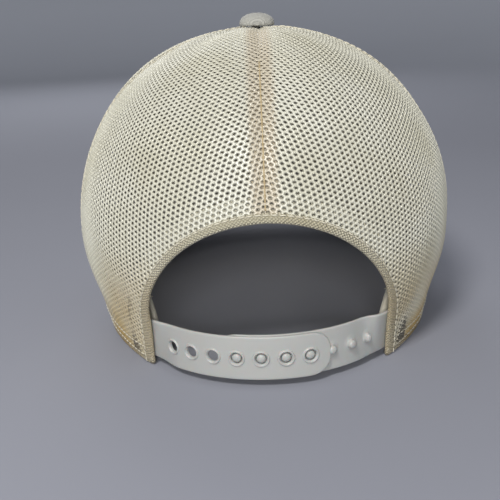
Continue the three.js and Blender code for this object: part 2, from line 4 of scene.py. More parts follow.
import bmesh
import bpy
import numpy as np
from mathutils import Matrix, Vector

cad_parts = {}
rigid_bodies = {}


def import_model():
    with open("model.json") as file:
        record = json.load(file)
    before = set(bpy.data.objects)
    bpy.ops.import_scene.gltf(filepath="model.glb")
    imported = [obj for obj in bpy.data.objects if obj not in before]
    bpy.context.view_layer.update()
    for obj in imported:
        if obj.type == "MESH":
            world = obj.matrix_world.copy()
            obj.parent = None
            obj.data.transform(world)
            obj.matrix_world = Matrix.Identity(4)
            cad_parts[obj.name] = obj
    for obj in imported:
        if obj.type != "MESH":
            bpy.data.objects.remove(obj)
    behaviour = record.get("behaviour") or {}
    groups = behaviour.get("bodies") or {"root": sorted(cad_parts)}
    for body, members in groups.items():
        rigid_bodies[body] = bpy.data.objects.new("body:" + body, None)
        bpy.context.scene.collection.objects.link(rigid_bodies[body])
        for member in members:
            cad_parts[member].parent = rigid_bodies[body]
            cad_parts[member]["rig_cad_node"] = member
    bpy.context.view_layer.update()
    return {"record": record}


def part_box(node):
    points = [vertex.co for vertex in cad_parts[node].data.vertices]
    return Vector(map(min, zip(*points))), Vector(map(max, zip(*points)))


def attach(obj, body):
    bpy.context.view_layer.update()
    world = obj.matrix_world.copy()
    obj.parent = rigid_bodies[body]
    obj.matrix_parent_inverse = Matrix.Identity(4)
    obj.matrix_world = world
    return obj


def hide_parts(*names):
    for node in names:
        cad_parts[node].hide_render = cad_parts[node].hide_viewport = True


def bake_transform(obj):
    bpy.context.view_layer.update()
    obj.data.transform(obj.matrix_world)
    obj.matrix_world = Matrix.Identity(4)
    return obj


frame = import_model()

CROWN = "crown_and_visor"

# Front panel
# One wide piece of polyester cloth laminated to soft foam, which makes the cap stand up in front.
# It runs from the visor to the top button, and the two front seams join it to the mesh.
RIM_HALF_WIDTH, SIDE_BULGE = 0.078, 0.012
RIM_HALF_LENGTH, FRONT_BULGE, BACK_BULGE = 0.094, 0.002, 0.008
BULGE_HEIGHT, CROWN_HEIGHT = 0.052, 0.140
DOME_SQUARENESS, RISE_OF_BULGE = 0.93, 0.4
FRONT_SEAM, SIDE_SEAM, BACK_SEAM = math.radians(60), math.radians(104), math.pi
SEAM_DIP, SEAM_DIP_REACH = 0.0008, 0.0030
EDGE_FOOT, FRONT_LIFT, LIFT_ANGLE = 0.0013, 0.026, math.radians(135)
CLOTH_THICKNESS, FOAM_THICKNESS, FOAM_SET_BACK = 0.0009, 0.0032, 0.00105


def wall(angle, rise):
    """Middle of the crown's wall. Angle from the middle of the front towards +X, rise from rim to top."""
    climb = np.minimum(rise / RISE_OF_BULGE, 1)
    swell = 0.5 * (1 - (1 - climb) ** 2) + 0.5 * climb**2 * (3 - 2 * climb)
    turn = np.clip((rise - RISE_OF_BULGE) / (1 - RISE_OF_BULGE), 0, 1) * math.pi / 2
    share = np.maximum(np.cos(turn), 1e-7) ** DOME_SQUARENESS
    bulge = np.where(np.cos(angle) > 0, FRONT_BULGE, BACK_BULGE)
    width = (RIM_HALF_WIDTH + SIDE_BULGE * swell) * share
    length = (RIM_HALF_LENGTH + bulge * swell) * share
    radius = 1 / np.hypot(np.sin(angle) / width, np.cos(angle) / length)
    height = BULGE_HEIGHT * climb + (CROWN_HEIGHT - BULGE_HEIGHT) * np.sin(turn)
    return np.stack([radius * np.sin(angle), -radius * np.cos(angle), height], -1)


def crown(angle, rise, out=0.0):
    """A point off the crown's wall, which dips a little into each seam."""
    angle, rise = np.broadcast_arrays(np.asarray(angle, float), np.asarray(rise, float))
    step = 1e-3
    along = wall(angle + step, rise) - wall(angle - step, rise)
    up = wall(angle, rise + step) - wall(angle, rise - step)
    normal = np.cross(along, up)
    normal /= np.linalg.norm(normal, axis=-1, keepdims=True)
    middle = wall(angle, rise)
    radius = np.hypot(middle[..., 0], middle[..., 1])
    dip = 0
    for seam in (FRONT_SEAM, SIDE_SEAM, BACK_SEAM):
        gap = (np.abs(angle) - seam) * radius
        dip = dip + SEAM_DIP * np.exp(-((gap / SEAM_DIP_REACH) ** 2))
    ripple = 0.0005 * np.sin(9 * angle + 7 * rise) * np.sin(14 * rise + 2 * angle)
    return middle + normal * (out - dip + ripple)[..., None]


def rise_at(height):
    low = np.asarray(height, float) / BULGE_HEIGHT * RISE_OF_BULGE
    share = np.clip((height - BULGE_HEIGHT) / (CROWN_HEIGHT - BULGE_HEIGHT), 0, 1)
    high = RISE_OF_BULGE + (1 - RISE_OF_BULGE) * np.arcsin(share) / (math.pi / 2)
    return np.where(low < RISE_OF_BULGE, low, high)


def rise_at_radius(radius):
    share = (radius / (RIM_HALF_WIDTH + SIDE_BULGE)) ** (1 / DOME_SQUARENESS)
    return RISE_OF_BULGE + (1 - RISE_OF_BULGE) * math.acos(share) / (math.pi / 2)


def edge_height(angle):
    """Height of the crown's lower edge, which rises over the visor."""
    share = np.minimum(np.abs(angle) / LIFT_ANGLE, 1)
    return EDGE_FOOT + FRONT_LIFT * np.cos(share * math.pi / 2) ** 2


def wall_radius(angle, rise):
    point = wall(np.asarray(angle, float), np.asarray(rise, float))
    return np.hypot(point[..., 0], point[..., 1])


def facing_out(points, faces):
    """Turns the faces of a closed shell round if they point inwards."""
    volume = 0.0
    for face in faces:
        a = points[face[0]]
        for b, c in zip(face[1:-1], face[2:]):
            volume += np.dot(a, np.cross(points[b], points[c]))
    return faces if volume > 0 else [face[::-1] for face in faces]


def add_piece(name, points, faces, material, uv=None):
    points = np.asarray(points, float).reshape(-1, 3)
    mesh = bpy.data.meshes.new(name)
    mesh.from_pydata(points.tolist(), [], facing_out(points, faces))
    mesh.polygons.foreach_set("use_smooth", [True] * len(mesh.polygons))
    if uv is not None:
        layer = mesh.uv_layers.new(name="cloth")
        corners = np.zeros(len(mesh.loops), int)
        mesh.loops.foreach_get("vertex_index", corners)
        layer.data.foreach_set("uv", np.asarray(uv, float).reshape(-1, 2)[corners].ravel())
    mesh.materials.append(material)
    piece = bpy.data.objects.new(name, mesh)
    bpy.context.scene.collection.objects.link(piece)
    return piece


def slab(name, outer, inner, material, uv):
    """A closed sheet between two grids of points. uv is the cloth's own place, in metres."""
    columns, rows = outer.shape[:2]
    points = np.concatenate([inner.reshape(-1, 3), outer.reshape(-1, 3)])
    at = lambda i, j, side: (side * columns + i) * rows + j
    faces = []
    for i in range(columns - 1):
        for j in range(rows - 1):
            faces.append([at(i, j, 1), at(i + 1, j, 1), at(i + 1, j + 1, 1), at(i, j + 1, 1)])
            faces.append([at(i, j, 0), at(i, j + 1, 0), at(i + 1, j + 1, 0), at(i + 1, j, 0)])
    for i in range(columns - 1):
        faces.append([at(i, 0, 0), at(i + 1, 0, 0), at(i + 1, 0, 1), at(i, 0, 1)])
        faces.append([at(i, rows - 1, 1), at(i + 1, rows - 1, 1), at(i + 1, rows - 1, 0), at(i, rows - 1, 0)])
    for j in range(rows - 1):
        faces.append([at(0, j, 1), at(0, j + 1, 1), at(0, j + 1, 0), at(0, j, 0)])
        faces.append([at(columns - 1, j, 0), at(columns - 1, j + 1, 0), at(columns - 1, j + 1, 1), at(columns - 1, j, 1)])
    return add_piece(name, points, faces, material, np.concatenate([uv.reshape(-1, 2)] * 2))


def new_material(name, roughness, **sockets):
    material = bpy.data.materials.new(name)
    material.use_nodes = True
    shader = material.node_tree.nodes["Principled BSDF"]
    shader.inputs["Roughness"].default_value = roughness
    for socket, value in sockets.items():
        shader.inputs[socket.replace("_", " ")].default_value = value
    return material


def node(material, kind, inputs=None, **settings):
    made = material.node_tree.nodes.new(kind)
    for key, value in settings.items():
        setattr(made, key, value)
    for key, value in (inputs or {}).items():
        if isinstance(value, bpy.types.NodeSocket):
            material.node_tree.links.new(value, made.inputs[key])
        else:
            made.inputs[key].default_value = value
    return made


def colour_mix(material, factor, low, high):
    """Colour that goes from low to high as factor goes from 0 to 1. Each is a colour or a socket."""
    mix = node(material, "ShaderNodeMix", data_type="RGBA")
    for index, value in ((0, factor), (6, low), (7, high)):
        if isinstance(value, bpy.types.NodeSocket):
            material.node_tree.links.new(value, mix.inputs[index])
        else:
            mix.inputs[index].default_value = value
    return mix.outputs[2]


def shaded(material, socket, value):
    shader = material.node_tree.nodes["Principled BSDF"]
    material.node_tree.links.new(value, shader.inputs[socket])


def noise(material, place, scale, detail=3.0):
    return node(material, "ShaderNodeTexNoise", {"Vector": place, "Scale": scale, "Detail": detail}).outputs[0]


def sharpened(material, value, low, high, to_low=0.0, to_high=1.0):
    inputs = {"Value": value, "From Min": low, "From Max": high, "To Min": to_low, "To Max": to_high}
    return node(material, "ShaderNodeMapRange", inputs).outputs[0]


def bumped(material, height, distance, strength=1.0):
    bump = node(material, "ShaderNodeBump", {"Height": height, "Distance": distance, "Strength": strength})
    shaded(material, "Normal", bump.outputs[0])


def multiplied(material, first, second):
    product = node(material, "ShaderNodeMath", operation="MULTIPLY")
    for index, value in enumerate((first, second)):
        if isinstance(value, bpy.types.NodeSocket):
            material.node_tree.links.new(value, product.inputs[index])
        else:
            product.inputs[index].default_value = value
    return product.outputs[0]


def woven_cloth(name, pale, dark, thread, roughness=0.8):
    """Plain-woven cloth: crossed ridges one thread apart, with faint uneven yellowing."""
    material = new_material(name, roughness, Sheen_Weight=0.25, Sheen_Roughness=0.5)
    cloth = node(material, "ShaderNodeUVMap", uv_map="cloth").outputs[0]
    place = node(material, "ShaderNodeTexCoord").outputs["Object"]
    ridges = [
        node(material, "ShaderNodeTexWave", {"Vector": cloth, "Scale": 0.314 / thread, "Distortion": 0.4},
             wave_type="BANDS", bands_direction=direction).outputs[1]
        for direction in ("X", "Y")
    ]
    weave = multiplied(material, ridges[0], ridges[1])
    ageing = sharpened(material, noise(material, place, 28.0), 0.35, 0.7)
    shaded(material, "Base Color", colour_mix(material, ageing, pale, dark))
    bumped(material, weave, 0.0003)
    return material


front_cloth_finish = woven_cloth("front polyester", (0.70, 0.69, 0.62, 1), (0.66, 0.635, 0.54, 1), 0.0007)
foam_finish = new_material("laminated foam", 0.95)
foam_place = node(foam_finish, "ShaderNodeTexCoord").outputs["Object"]
foam_cells = node(foam_finish, "ShaderNodeTexVoronoi", {"Vector": foam_place, "Scale": 900.0}).outputs[0]
foam_ageing = sharpened(foam_finish, noise(foam_finish, foam_place, 22.0), 0.35, 0.7)
shaded(foam_finish, "Base Color",
       colour_mix(foam_finish, foam_ageing, (0.72, 0.68, 0.54, 1), (0.63, 0.55, 0.36, 1)))
bumped(foam_finish, foam_cells, 0.0004)


def wall_patch(name, start, end, trim, low, high, outer, inner, material, columns, rows):
    """A closed sheet on the crown's wall between two angles, held back from both by trim."""
    across = np.linspace(0, 1, columns)[:, None]
    rough = start + (end - start) * across
    bottom = low(rough)
    rise = bottom + (high - bottom) * np.linspace(0, 1, rows)[None, :]
    radius = np.maximum(wall_radius(rough, rise), 0.002)
    angle = start + trim / radius + (end - start - 2 * trim / radius) * across
    middle = (start + end) / 2
    uv = np.stack([(angle - middle) * radius, rise * 0.21], -1)
    return slab(name, crown(angle, rise, outer), crown(angle, rise, inner), material, uv)


EYE_RISE = rise_at_radius(0.0028)
front_cloth = wall_patch("front_panel_cloth_sewn", -FRONT_SEAM, FRONT_SEAM, 0.0002,
                         lambda angle: rise_at(edge_height(angle)), EYE_RISE,
                         CLOTH_THICKNESS / 2, -CLOTH_THICKNESS / 2, front_cloth_finish, 97, 72)
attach(front_cloth, CROWN)
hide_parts("front_panel_cloth")


def longest_row(angle, rise):
    """Length of the longest of the lines that run across a patch of the wall."""
    rows = crown(angle[:, None], rise[None, :])
    return float(np.linalg.norm(np.diff(rows, axis=0), axis=2).sum(0).max())


cloth_rise = np.linspace(float(rise_at(edge_height(0.0))), EYE_RISE, 60)
cloth_width = longest_row(np.linspace(-FRONT_SEAM, FRONT_SEAM, 60), cloth_rise)
cloth_length = float(np.linalg.norm(np.diff(crown(0.0, cloth_rise), axis=0), axis=1).sum())

front_foam = wall_patch("front_panel_foam_lining", -FRONT_SEAM, FRONT_SEAM, 0.0074,
                        lambda angle: rise_at(edge_height(angle) + 0.001), rise_at_radius(0.014),
                        -FOAM_SET_BACK, -FOAM_SET_BACK - FOAM_THICKNESS, foam_finish, 73, 56)
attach(front_foam, CROWN)
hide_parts("front_panel_foam")

# Mesh panels
# Four gores of shiny nylon tricot mesh: staggered six-sided holes between rounded yarns, with a
# heavier yarn beside every second column of holes. The grain follows the middle of each gore.
COLUMN_PITCH, ROW_PITCH = 0.00205, 0.00215
HOLE_SHARE = 0.37
YARN_TOP, YARN_SIDE, YARN_UNDER = 0.00028, -0.00002, -0.00022
KNOT_WIDTH, KNOT_LENGTH, KNOT_RISE = 0.00042, 0.00078, 0.00022
FLAT_KNOT = 0.45
ARCH_HALF_WIDTH, ARCH_SIDE, ARCH_TOP = 0.0515, 0.024, 0.071
NET_LIFT = 0.0001


def net_cell():
    """One six-sided hole with half of the yarn on each side of it."""
    corners = [(2 / 3, 0), (1 / 3, 0.5), (-1 / 3, 0.5), (-2 / 3, 0), (-1 / 3, -0.5), (1 / 3, -0.5)]
    points = []
    for share, height in ((1, YARN_TOP), (HOLE_SHARE, YARN_SIDE), (1, YARN_UNDER)):
        points += [(x * COLUMN_PITCH * share, y * ROW_PITCH * share, height) for x, y in corners]
    faces = [(band + k, band + (k + 1) % 6, band + 6 + (k + 1) % 6, band + 6 + k)
             for band in (0, 6) for k in range(6)]
    return hidden_shape("net_cell", points, faces)


def net_knot():
    """The thick knot between one hole and the next hole in its column: half an egg that catches light."""
    points = []
    for share, height in ((1.0, 0.0), (0.68, 0.72)):
        for k in range(6):
            turn = math.pi * k / 3
            points.append((share * math.cos(turn), share * math.sin(turn), height))
    points.append((0, 0, 1))
    faces = [(k, (k + 1) % 6, 6 + (k + 1) % 6, 6 + k) for k in range(6)]
    faces += [(6 + k, 6 + (k + 1) % 6, 12) for k in range(6)]
    return hidden_shape("net_knot", points, faces)


def hidden_shape(name, points, faces):
    """A shape that is only there to be repeated."""
    mesh = bpy.data.meshes.new(name)
    mesh.from_pydata(points, [], faces)
    mesh.polygons.foreach_set("use_smooth", [True] * len(mesh.polygons))
    shape = bpy.data.objects.new(name, mesh)
    bpy.context.scene.collection.objects.link(shape)
    return shape


def tree_with(name, *numbers, **objects):
    """A geometry node tree with one geometry input, float inputs and object inputs."""
    tree = bpy.data.node_groups.new(name, "GeometryNodeTree")
    tree.interface.new_socket("Geometry", in_out="INPUT", socket_type="NodeSocketGeometry")
    for number in numbers:
        tree.interface.new_socket(number, in_out="INPUT", socket_type="NodeSocketFloat")
    for label in objects:
        tree.interface.new_socket(label, in_out="INPUT", socket_type="NodeSocketObject")
    tree.interface.new_socket("Material", in_out="INPUT", socket_type="NodeSocketMaterial")
    tree.interface.new_socket("Geometry", in_out="OUTPUT", socket_type="NodeSocketGeometry")
    return tree, tree.nodes.new("NodeGroupInput"), tree.nodes.new("NodeGroupOutput")


def tree_node(tree, kind, inputs=None, **settings):
    made = tree.nodes.new(kind)
    for key, value in settings.items():
        setattr(made, key, value)
    for key, value in (inputs or {}).items():
        if isinstance(value, bpy.types.NodeSocket):
            tree.links.new(value, made.inputs[key])
        else:
            made.inputs[key].default_value = value
    return made


def made_by(tree, start, values):
    """The plain mesh that a tree makes from an object, with the modifier gone."""
    modifier = start.modifiers.new(tree.name, "NODES")
    modifier.node_group = tree
    for item in tree.interface.items_tree:
        if item.in_out == "INPUT" and item.name in values:
            modifier[item.identifier] = values[item.name]
    bpy.context.view_layer.update()
    evaluated = start.evaluated_get(bpy.context.evaluated_depsgraph_get())
    mesh = bpy.data.meshes.new_from_object(evaluated)
    start.modifiers.remove(modifier)
    return mesh


def net_tree():
    """Repeats the net's cell on a grid whose odd columns are moved by half a row and turned round."""
    tree, given, result = tree_with("net", "Columns", "Rows", "Column pitch", "Row pitch", "Knot width",
                                    "Knot length", "Knot rise", "Flat knot", Cell=None, Knot=None)
    math_node = lambda op, *values: tree_node(
        tree, "ShaderNodeMath", dict(enumerate(values)), operation=op).outputs[0]
    width = math_node("MULTIPLY", math_node("SUBTRACT", given.outputs["Columns"], 1.0), given.outputs["Column pitch"])
    length = math_node("MULTIPLY", math_node("SUBTRACT", given.outputs["Rows"], 1.0), given.outputs["Row pitch"])
    grid = tree_node(tree, "GeometryNodeMeshGrid", {
        "Size X": width, "Size Y": length, "Vertices X": given.outputs["Columns"],
        "Vertices Y": given.outputs["Rows"]})
    place = tree_node(tree, "ShaderNodeSeparateXYZ", {0: tree_node(tree, "GeometryNodeInputPosition").outputs[0]})
    column = math_node("ROUND", math_node("DIVIDE", math_node("ADD", place.outputs[0], width), given.outputs["Column pitch"]))
    odd = math_node("MODULO", column, 2.0)
    shift = tree_node(tree, "ShaderNodeCombineXYZ", {
        1: math_node("MULTIPLY", math_node("MULTIPLY", odd, 0.5), given.outputs["Row pitch"])})
    moved = tree_node(tree, "GeometryNodeSetPosition", {"Geometry": grid.outputs[0], "Offset": shift.outputs[0]})
    turn = tree_node(tree, "ShaderNodeCombineXYZ", {2: math_node("MULTIPLY", odd, math.pi)})
    cell = tree_node(tree, "GeometryNodeObjectInfo", {"Object": given.outputs["Cell"]})
    copies = tree_node(tree, "GeometryNodeInstanceOnPoints", {
        "Points": moved.outputs[0], "Instance": cell.outputs["Geometry"],
        "Rotation": tree_node(tree, "FunctionNodeEulerToRotation", {0: turn.outputs[0]}).outputs[0]})
    real = tree_node(tree, "GeometryNodeRealizeInstances", {0: copies.outputs[0]})
    welded = tree_node(tree, "GeometryNodeMergeByDistance", {"Geometry": real.outputs[0], "Distance": 0.00004})
    half_row = tree_node(tree, "ShaderNodeCombineXYZ", {
        1: math_node("MULTIPLY", given.outputs["Row pitch"], 0.5), 2: 0.0001})
    between = tree_node(tree, "GeometryNodeSetPosition", {"Geometry": moved.outputs[0], "Offset": half_row.outputs[0]})
    lower = math_node("SUBTRACT", 1.0, math_node("MULTIPLY", odd, given.outputs["Flat knot"]))
    size = tree_node(tree, "ShaderNodeCombineXYZ", {
        0: math_node("MULTIPLY", given.outputs["Knot width"], lower),
        1: math_node("MULTIPLY", given.outputs["Knot length"], lower),
        2: math_node("ADD", YARN_TOP, math_node("MULTIPLY", given.outputs["Knot rise"], lower))})
    knot = tree_node(tree, "GeometryNodeObjectInfo", {"Object": given.outputs["Knot"]})
    knots = tree_node(tree, "GeometryNodeInstanceOnPoints", {
        "Points": between.outputs[0], "Instance": knot.outputs["Geometry"], "Scale": size.outputs[0]})
    solid_knots = tree_node(tree, "GeometryNodeRealizeInstances", {0: knots.outputs[0]})
    joined = tree_node(tree, "GeometryNodeJoinGeometry")
    tree.links.new(solid_knots.outputs[0], joined.inputs[0])
    tree.links.new(welded.outputs[0], joined.inputs[0])
    finish = tree_node(tree, "GeometryNodeSetMaterial", {
        "Geometry": joined.outputs[0], "Material": given.outputs["Material"]})
    tree.links.new(finish.outputs[0], result.inputs[0])
    return tree


def nylon(name, pale, dark, amber, roughness):
    """Shiny nylon yarn, unevenly yellowed and amber where it has been handled, low on the cap."""
    material = new_material(name, roughness, Specular_IOR_Level=0.65, Sheen_Weight=0.15, Sheen_Roughness=0.3)
    place = node(material, "ShaderNodeTexCoord").outputs["Object"]
    height = node(material, "ShaderNodeSeparateXYZ", {0: place}).outputs[2]
    uneven = sharpened(material, noise(material, place, 30.0), 0.35, 0.7)
    base = colour_mix(material, uneven, pale, dark)
    low = sharpened(material, height, 0.055, 0.005)
    stains = sharpened(material, noise(material, place, 17.0, 2.0), 0.36, 0.58)
    shaded(material, "Base Color", colour_mix(material, multiplied(material, low, stains), base, amber))
    return material


net_finish = nylon("nylon mesh", (0.66, 0.65, 0.55, 1), (0.59, 0.57, 0.45, 1), (0.46, 0.33, 0.13, 1), 0.26)
# The seam allowances lie doubled under the mesh at the back seam and look browner through it.
net_place = node(net_finish, "ShaderNodeSeparateXYZ", {
    0: node(net_finish, "ShaderNodeTexCoord").outputs["Object"]})
aside = node(net_finish, "ShaderNodeMath", {0: net_place.outputs[0]}, operation="ABSOLUTE").outputs[0]
doubled = multiplied(net_finish, sharpened(net_finish, aside, 0.0068, 0.0036, 0.0, 0.75),
                     sharpened(net_finish, net_place.outputs[1], 0.0, 0.02))
single = net_finish.node_tree.nodes["Principled BSDF"].inputs["Base Color"].links[0].from_socket
shaded(net_finish, "Base Color", colour_mix(net_finish, doubled, single, (0.56, 0.49, 0.37, 1)))
cell, knot = net_cell(), net_knot()
net = net_tree()


def arch_height(x):
    share = np.minimum(np.abs(x) / ARCH_HALF_WIDTH, 1)
    return ARCH_SIDE + (ARCH_TOP - ARCH_SIDE) * np.sqrt(1 - share**2)


def mesh_panel(name, start, end, *replaced):
    """Cuts a gore out of flat net and lays it on the wall, with its grain up the gore's middle."""
    middle = (start + end) / 2
    rises = np.linspace(rise_at(0.0), EYE_RISE, 400)
    path = wall(np.full(400, middle), rises)
    climbed = np.concatenate([[0], np.cumsum(np.linalg.norm(np.diff(path, axis=0), axis=1))])
    radii = wall_radius(middle, rises)
    half_width = (end - start) / 2 * radii.max() * 1.03
    columns = 2 * math.ceil(half_width / COLUMN_PITCH) + 1
    rows = math.ceil(climbed[-1] / ROW_PITCH) + 2
    start_mesh = bpy.data.objects.new("net_start", bpy.data.meshes.new("net_start"))
    bpy.context.scene.collection.objects.link(start_mesh)
    flat = made_by(net, start_mesh, {
        "Columns": float(columns), "Rows": float(rows), "Column pitch": COLUMN_PITCH,
        "Row pitch": ROW_PITCH, "Knot width": KNOT_WIDTH, "Knot length": KNOT_LENGTH,
        "Knot rise": KNOT_RISE, "Flat knot": FLAT_KNOT, "Cell": cell, "Knot": knot,
        "Material": net_finish})
    bpy.data.objects.remove(start_mesh)
    spot = np.zeros(len(flat.vertices) * 3)
    flat.vertices.foreach_get("co", spot)
    spot = spot.reshape(-1, 3)
    climb = np.clip(spot[:, 1] + climbed[-1] / 2, 0, climbed[-1])
    rise = np.interp(climb, climbed, rises)
    angle = middle + spot[:, 0] / np.interp(climb, climbed, radii)
    inside = (angle > start) & (angle < end)
    clipped = np.clip(angle, start, end)
    place = crown(clipped, rise, spot[:, 2] + NET_LIFT)
    in_arch = (place[:, 1] > 0) & (np.abs(place[:, 0]) < ARCH_HALF_WIDTH) & (place[:, 2] < arch_height(place[:, 0]))
    below = place[:, 2] < edge_height(clipped)
    corners = np.array([(face.vertices[:] + face.vertices[:1])[:4] for face in flat.polygons])
    keep = inside[corners].any(1) & ~in_arch[corners].any(1) & ~below[corners].all(1)
    keep &= (climb[corners].max(1) > 0) & (climb[corners].min(1) < climbed[-1])
    used, index = np.unique(corners[keep], return_inverse=True)
    quads = index.reshape(-1, 4).tolist()
    piece = add_piece(name, place[used], [face[:3] if face[3] == face[0] else face for face in quads], net_finish)
    bpy.data.meshes.remove(flat)
    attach(piece, CROWN)
    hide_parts(*replaced)
    return piece


mesh_panel("left_rear_net", SIDE_SEAM, BACK_SEAM, "left_rear_mesh_panel")
mesh_panel("right_rear_net", -BACK_SEAM, -SIDE_SEAM, "right_rear_mesh_panel")
mesh_panel("left_side_net", FRONT_SEAM, SIDE_SEAM, "left_side_mesh_panel")
mesh_panel("right_side_net", -SIDE_SEAM, -FRONT_SEAM, "right_side_mesh_panel")
bpy.data.objects.remove(cell)
bpy.data.objects.remove(knot)

# Seam tapes and seam stitching
# Yellowed cotton tape is sewn over the turned edges inside each seam and shows through the mesh.
# Two rows of thread run down the outside, one on each side of the seam.
TAPE_HALF_WIDTH, TAPE_SET_BACK, TAPE_THICKNESS = 0.0055, 0.0006, 0.0007
tape_finish = woven_cloth("cotton seam tape", (0.60, 0.51, 0.36, 1), (0.50, 0.41, 0.26, 1), 0.0009, 0.9)
thread_finish = new_material("sewing thread", 0.5, Base_Color=(0.72, 0.68, 0.55, 1), Sheen_Weight=0.3)
thread_place = node(thread_finish, "ShaderNodeTexCoord").outputs["Object"]
shaded(thread_finish, "Base Color", colour_mix(
    thread_finish, noise(thread_finish, thread_place, 300.0), (0.80, 0.77, 0.65, 1), (0.60, 0.54, 0.38, 1)))


def seam_tape(name, seam, bottom, replaced):
    rise = np.linspace(float(rise_at(bottom)), rise_at_radius(0.009), 70)[None, :]
    half = np.minimum(TAPE_HALF_WIDTH / wall_radius(seam, rise), 0.30)
    across = np.linspace(-1, 1, 9)[:, None]
    angle = seam + half * across
    uv = np.stack([across * TAPE_HALF_WIDTH + 0 * rise, rise * 0.21 + 0 * across], -1)
    tape = slab(name, crown(angle, rise, -TAPE_SET_BACK), crown(angle, rise, -TAPE_SET_BACK - TAPE_THICKNESS),
                tape_finish, uv)
    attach(tape, CROWN)
    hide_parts(replaced)


for side, sign in (("left", 1), ("right", -1)):
    for place, seam in (("front", FRONT_SEAM), ("side", SIDE_SEAM)):
        seam_tape(f"{side}_{place}_tape", sign * seam, float(edge_height(seam)) + 0.011,
                  f"{side}_{place}_seam_tape")
seam_tape("back_tape", BACK_SEAM, ARCH_TOP + 0.006, "back_seam_tape")


def stitch_shape():
    """One stitch: a short rounded bead that lies along Z."""
    rings, sides = 5, 6
    points, faces = [], []
    for r in range(rings + 1):
        turn = math.pi * r / rings
        for s in range(sides):
            around = 2 * math.pi * s / sides
            points.append((math.sin(turn) * math.cos(around), math.sin(turn) * math.sin(around), -math.cos(turn)))
    for r in range(rings):
        for s in range(sides):
            after = (s + 1) % sides
            faces.append((r * sides + s, r * sides + after, (r + 1) * sides + after, (r + 1) * sides + s))
    mesh = bpy.data.meshes.new("stitch")
    mesh.from_pydata(points, [], faces)
    mesh.polygons.foreach_set("use_smooth", [True] * len(mesh.polygons))
    stitch = bpy.data.objects.new("stitch", mesh)
    bpy.context.scene.collection.objects.link(stitch)
    return stitch


def stitch_tree():
    """Lays stitches end to end along every path in the geometry that it is given."""
    tree, given, result = tree_with("stitch row", "Pitch", "Half length", "Thread radius", Stitch=None)
    path = tree_node(tree, "GeometryNodeMeshToCurve", {"Mesh": given.outputs["Geometry"]})
    spaced = tree_node(tree, "GeometryNodeCurveToPoints", {
        "Curve": path.outputs[0], "Length": given.outputs["Pitch"]}, mode="LENGTH")
    size = tree_node(tree, "ShaderNodeCombineXYZ", {
        0: given.outputs["Thread radius"], 1: given.outputs["Thread radius"], 2: given.outputs["Half length"]})
    bead = tree_node(tree, "GeometryNodeObjectInfo", {"Object": given.outputs["Stitch"]})
    copies = tree_node(tree, "GeometryNodeInstanceOnPoints", {
        "Points": spaced.outputs["Points"], "Instance": bead.outputs["Geometry"],
        "Rotation": tree_node(tree, "FunctionNodeAlignRotationToVector", {
            "Vector": spaced.outputs["Tangent"]}, axis="Z").outputs[0],
        "Scale": size.outputs[0]})
    real = tree_node(tree, "GeometryNodeRealizeInstances", {0: copies.outputs[0]})
    finish = tree_node(tree, "GeometryNodeSetMaterial", {
        "Geometry": real.outputs[0], "Material": given.outputs["Material"]})
    tree.links.new(finish.outputs[0], result.inputs[0])
    return tree


stitch = stitch_shape()
stitching = stitch_tree()


def stitch_rows(name, paths, body=CROWN, pitch=0.0032, half_length=0.0014, radius=0.00028):
    points, edges = [], []
    for path in paths:
        edges += [(len(points) + k, len(points) + k + 1) for k in range(len(path) - 1)]
        points += [tuple(p) for p in path]
    mesh = bpy.data.meshes.new(name)
    mesh.from_pydata(points, edges, [])
    route = bpy.data.objects.new(name, mesh)
    bpy.context.scene.collection.objects.link(route)
    made = made_by(stitching, route, {
        "Pitch": pitch, "Half length": half_length, "Thread radius": radius,
        "Stitch": stitch, "Material": thread_finish})
    route.data = made
    made.polygons.foreach_set("use_smooth", [True] * len(made.polygons))
    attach(route, body)
    return route


def seam_path(seam, aside, bottom, out):
    rise = np.linspace(float(rise_at(bottom)), rise_at_radius(0.009), 90)
    angle = seam + aside / wall_radius(seam, rise)
    return crown(angle, rise, out)


SEAM_ROW_ASIDE = 0.0030
seam_rows = []
for sign in (1, -1):
    for seam in (FRONT_SEAM, SIDE_SEAM):
        for aside in (-SEAM_ROW_ASIDE, SEAM_ROW_ASIDE):
            seam_rows.append(seam_path(sign * seam, aside, float(edge_height(seam)) + 0.002, 0.0007))
stitch_rows("seam_stitches", seam_rows)

# Seam folds
# The two panels' edges meet in a narrow raised fold of doubled mesh down the middle of each front and side seam.
FOLD_HALF_WIDTH, FOLD_HEIGHT = 0.0016, 0.0009


def knitted(name, pale, dark, amber):
    """Doubled mesh pressed flat: rows of small knots with shallow pits between them, with the pits painted darker as
    shade.
    """
    material = nylon(name, pale, dark, amber, 0.4)
    cloth = node(material, "ShaderNodeUVMap", uv_map="cloth").outputs[0]
    turned = node(material, "ShaderNodeMapping", {"Vector": cloth, "Rotation": (0, 0, math.pi / 4)}).outputs[0]
    pits = node(material, "ShaderNodeTexVoronoi", {
        "Vector": turned, "Scale": 950.0, "Randomness": 0.25}, voronoi_dimensions="2D").outputs[0]
    knots = sharpened(material, pits, 0.1, 0.65, 1.0, 0.0)
    shader = material.node_tree.nodes["Principled BSDF"]
    plain = shader.inputs["Base Color"].links[0].from_socket
    # Painted shade: the pits between the knots are darkened towards a deep brown, standing in for the shade that falls
    # in them.
    shade = sharpened(material, pits, 0.25, 0.7, 0.0, 0.55)
    shaded(material, "Base Color", colour_mix(material, shade, plain, (0.20, 0.16, 0.07, 1)))
    bumped(material, knots, 0.0006)
    return material


knit_finish = knitted("folded nylon mesh", (0.58, 0.55, 0.42, 1), (0.50, 0.45, 0.31, 1), (0.46, 0.32, 0.12, 1))


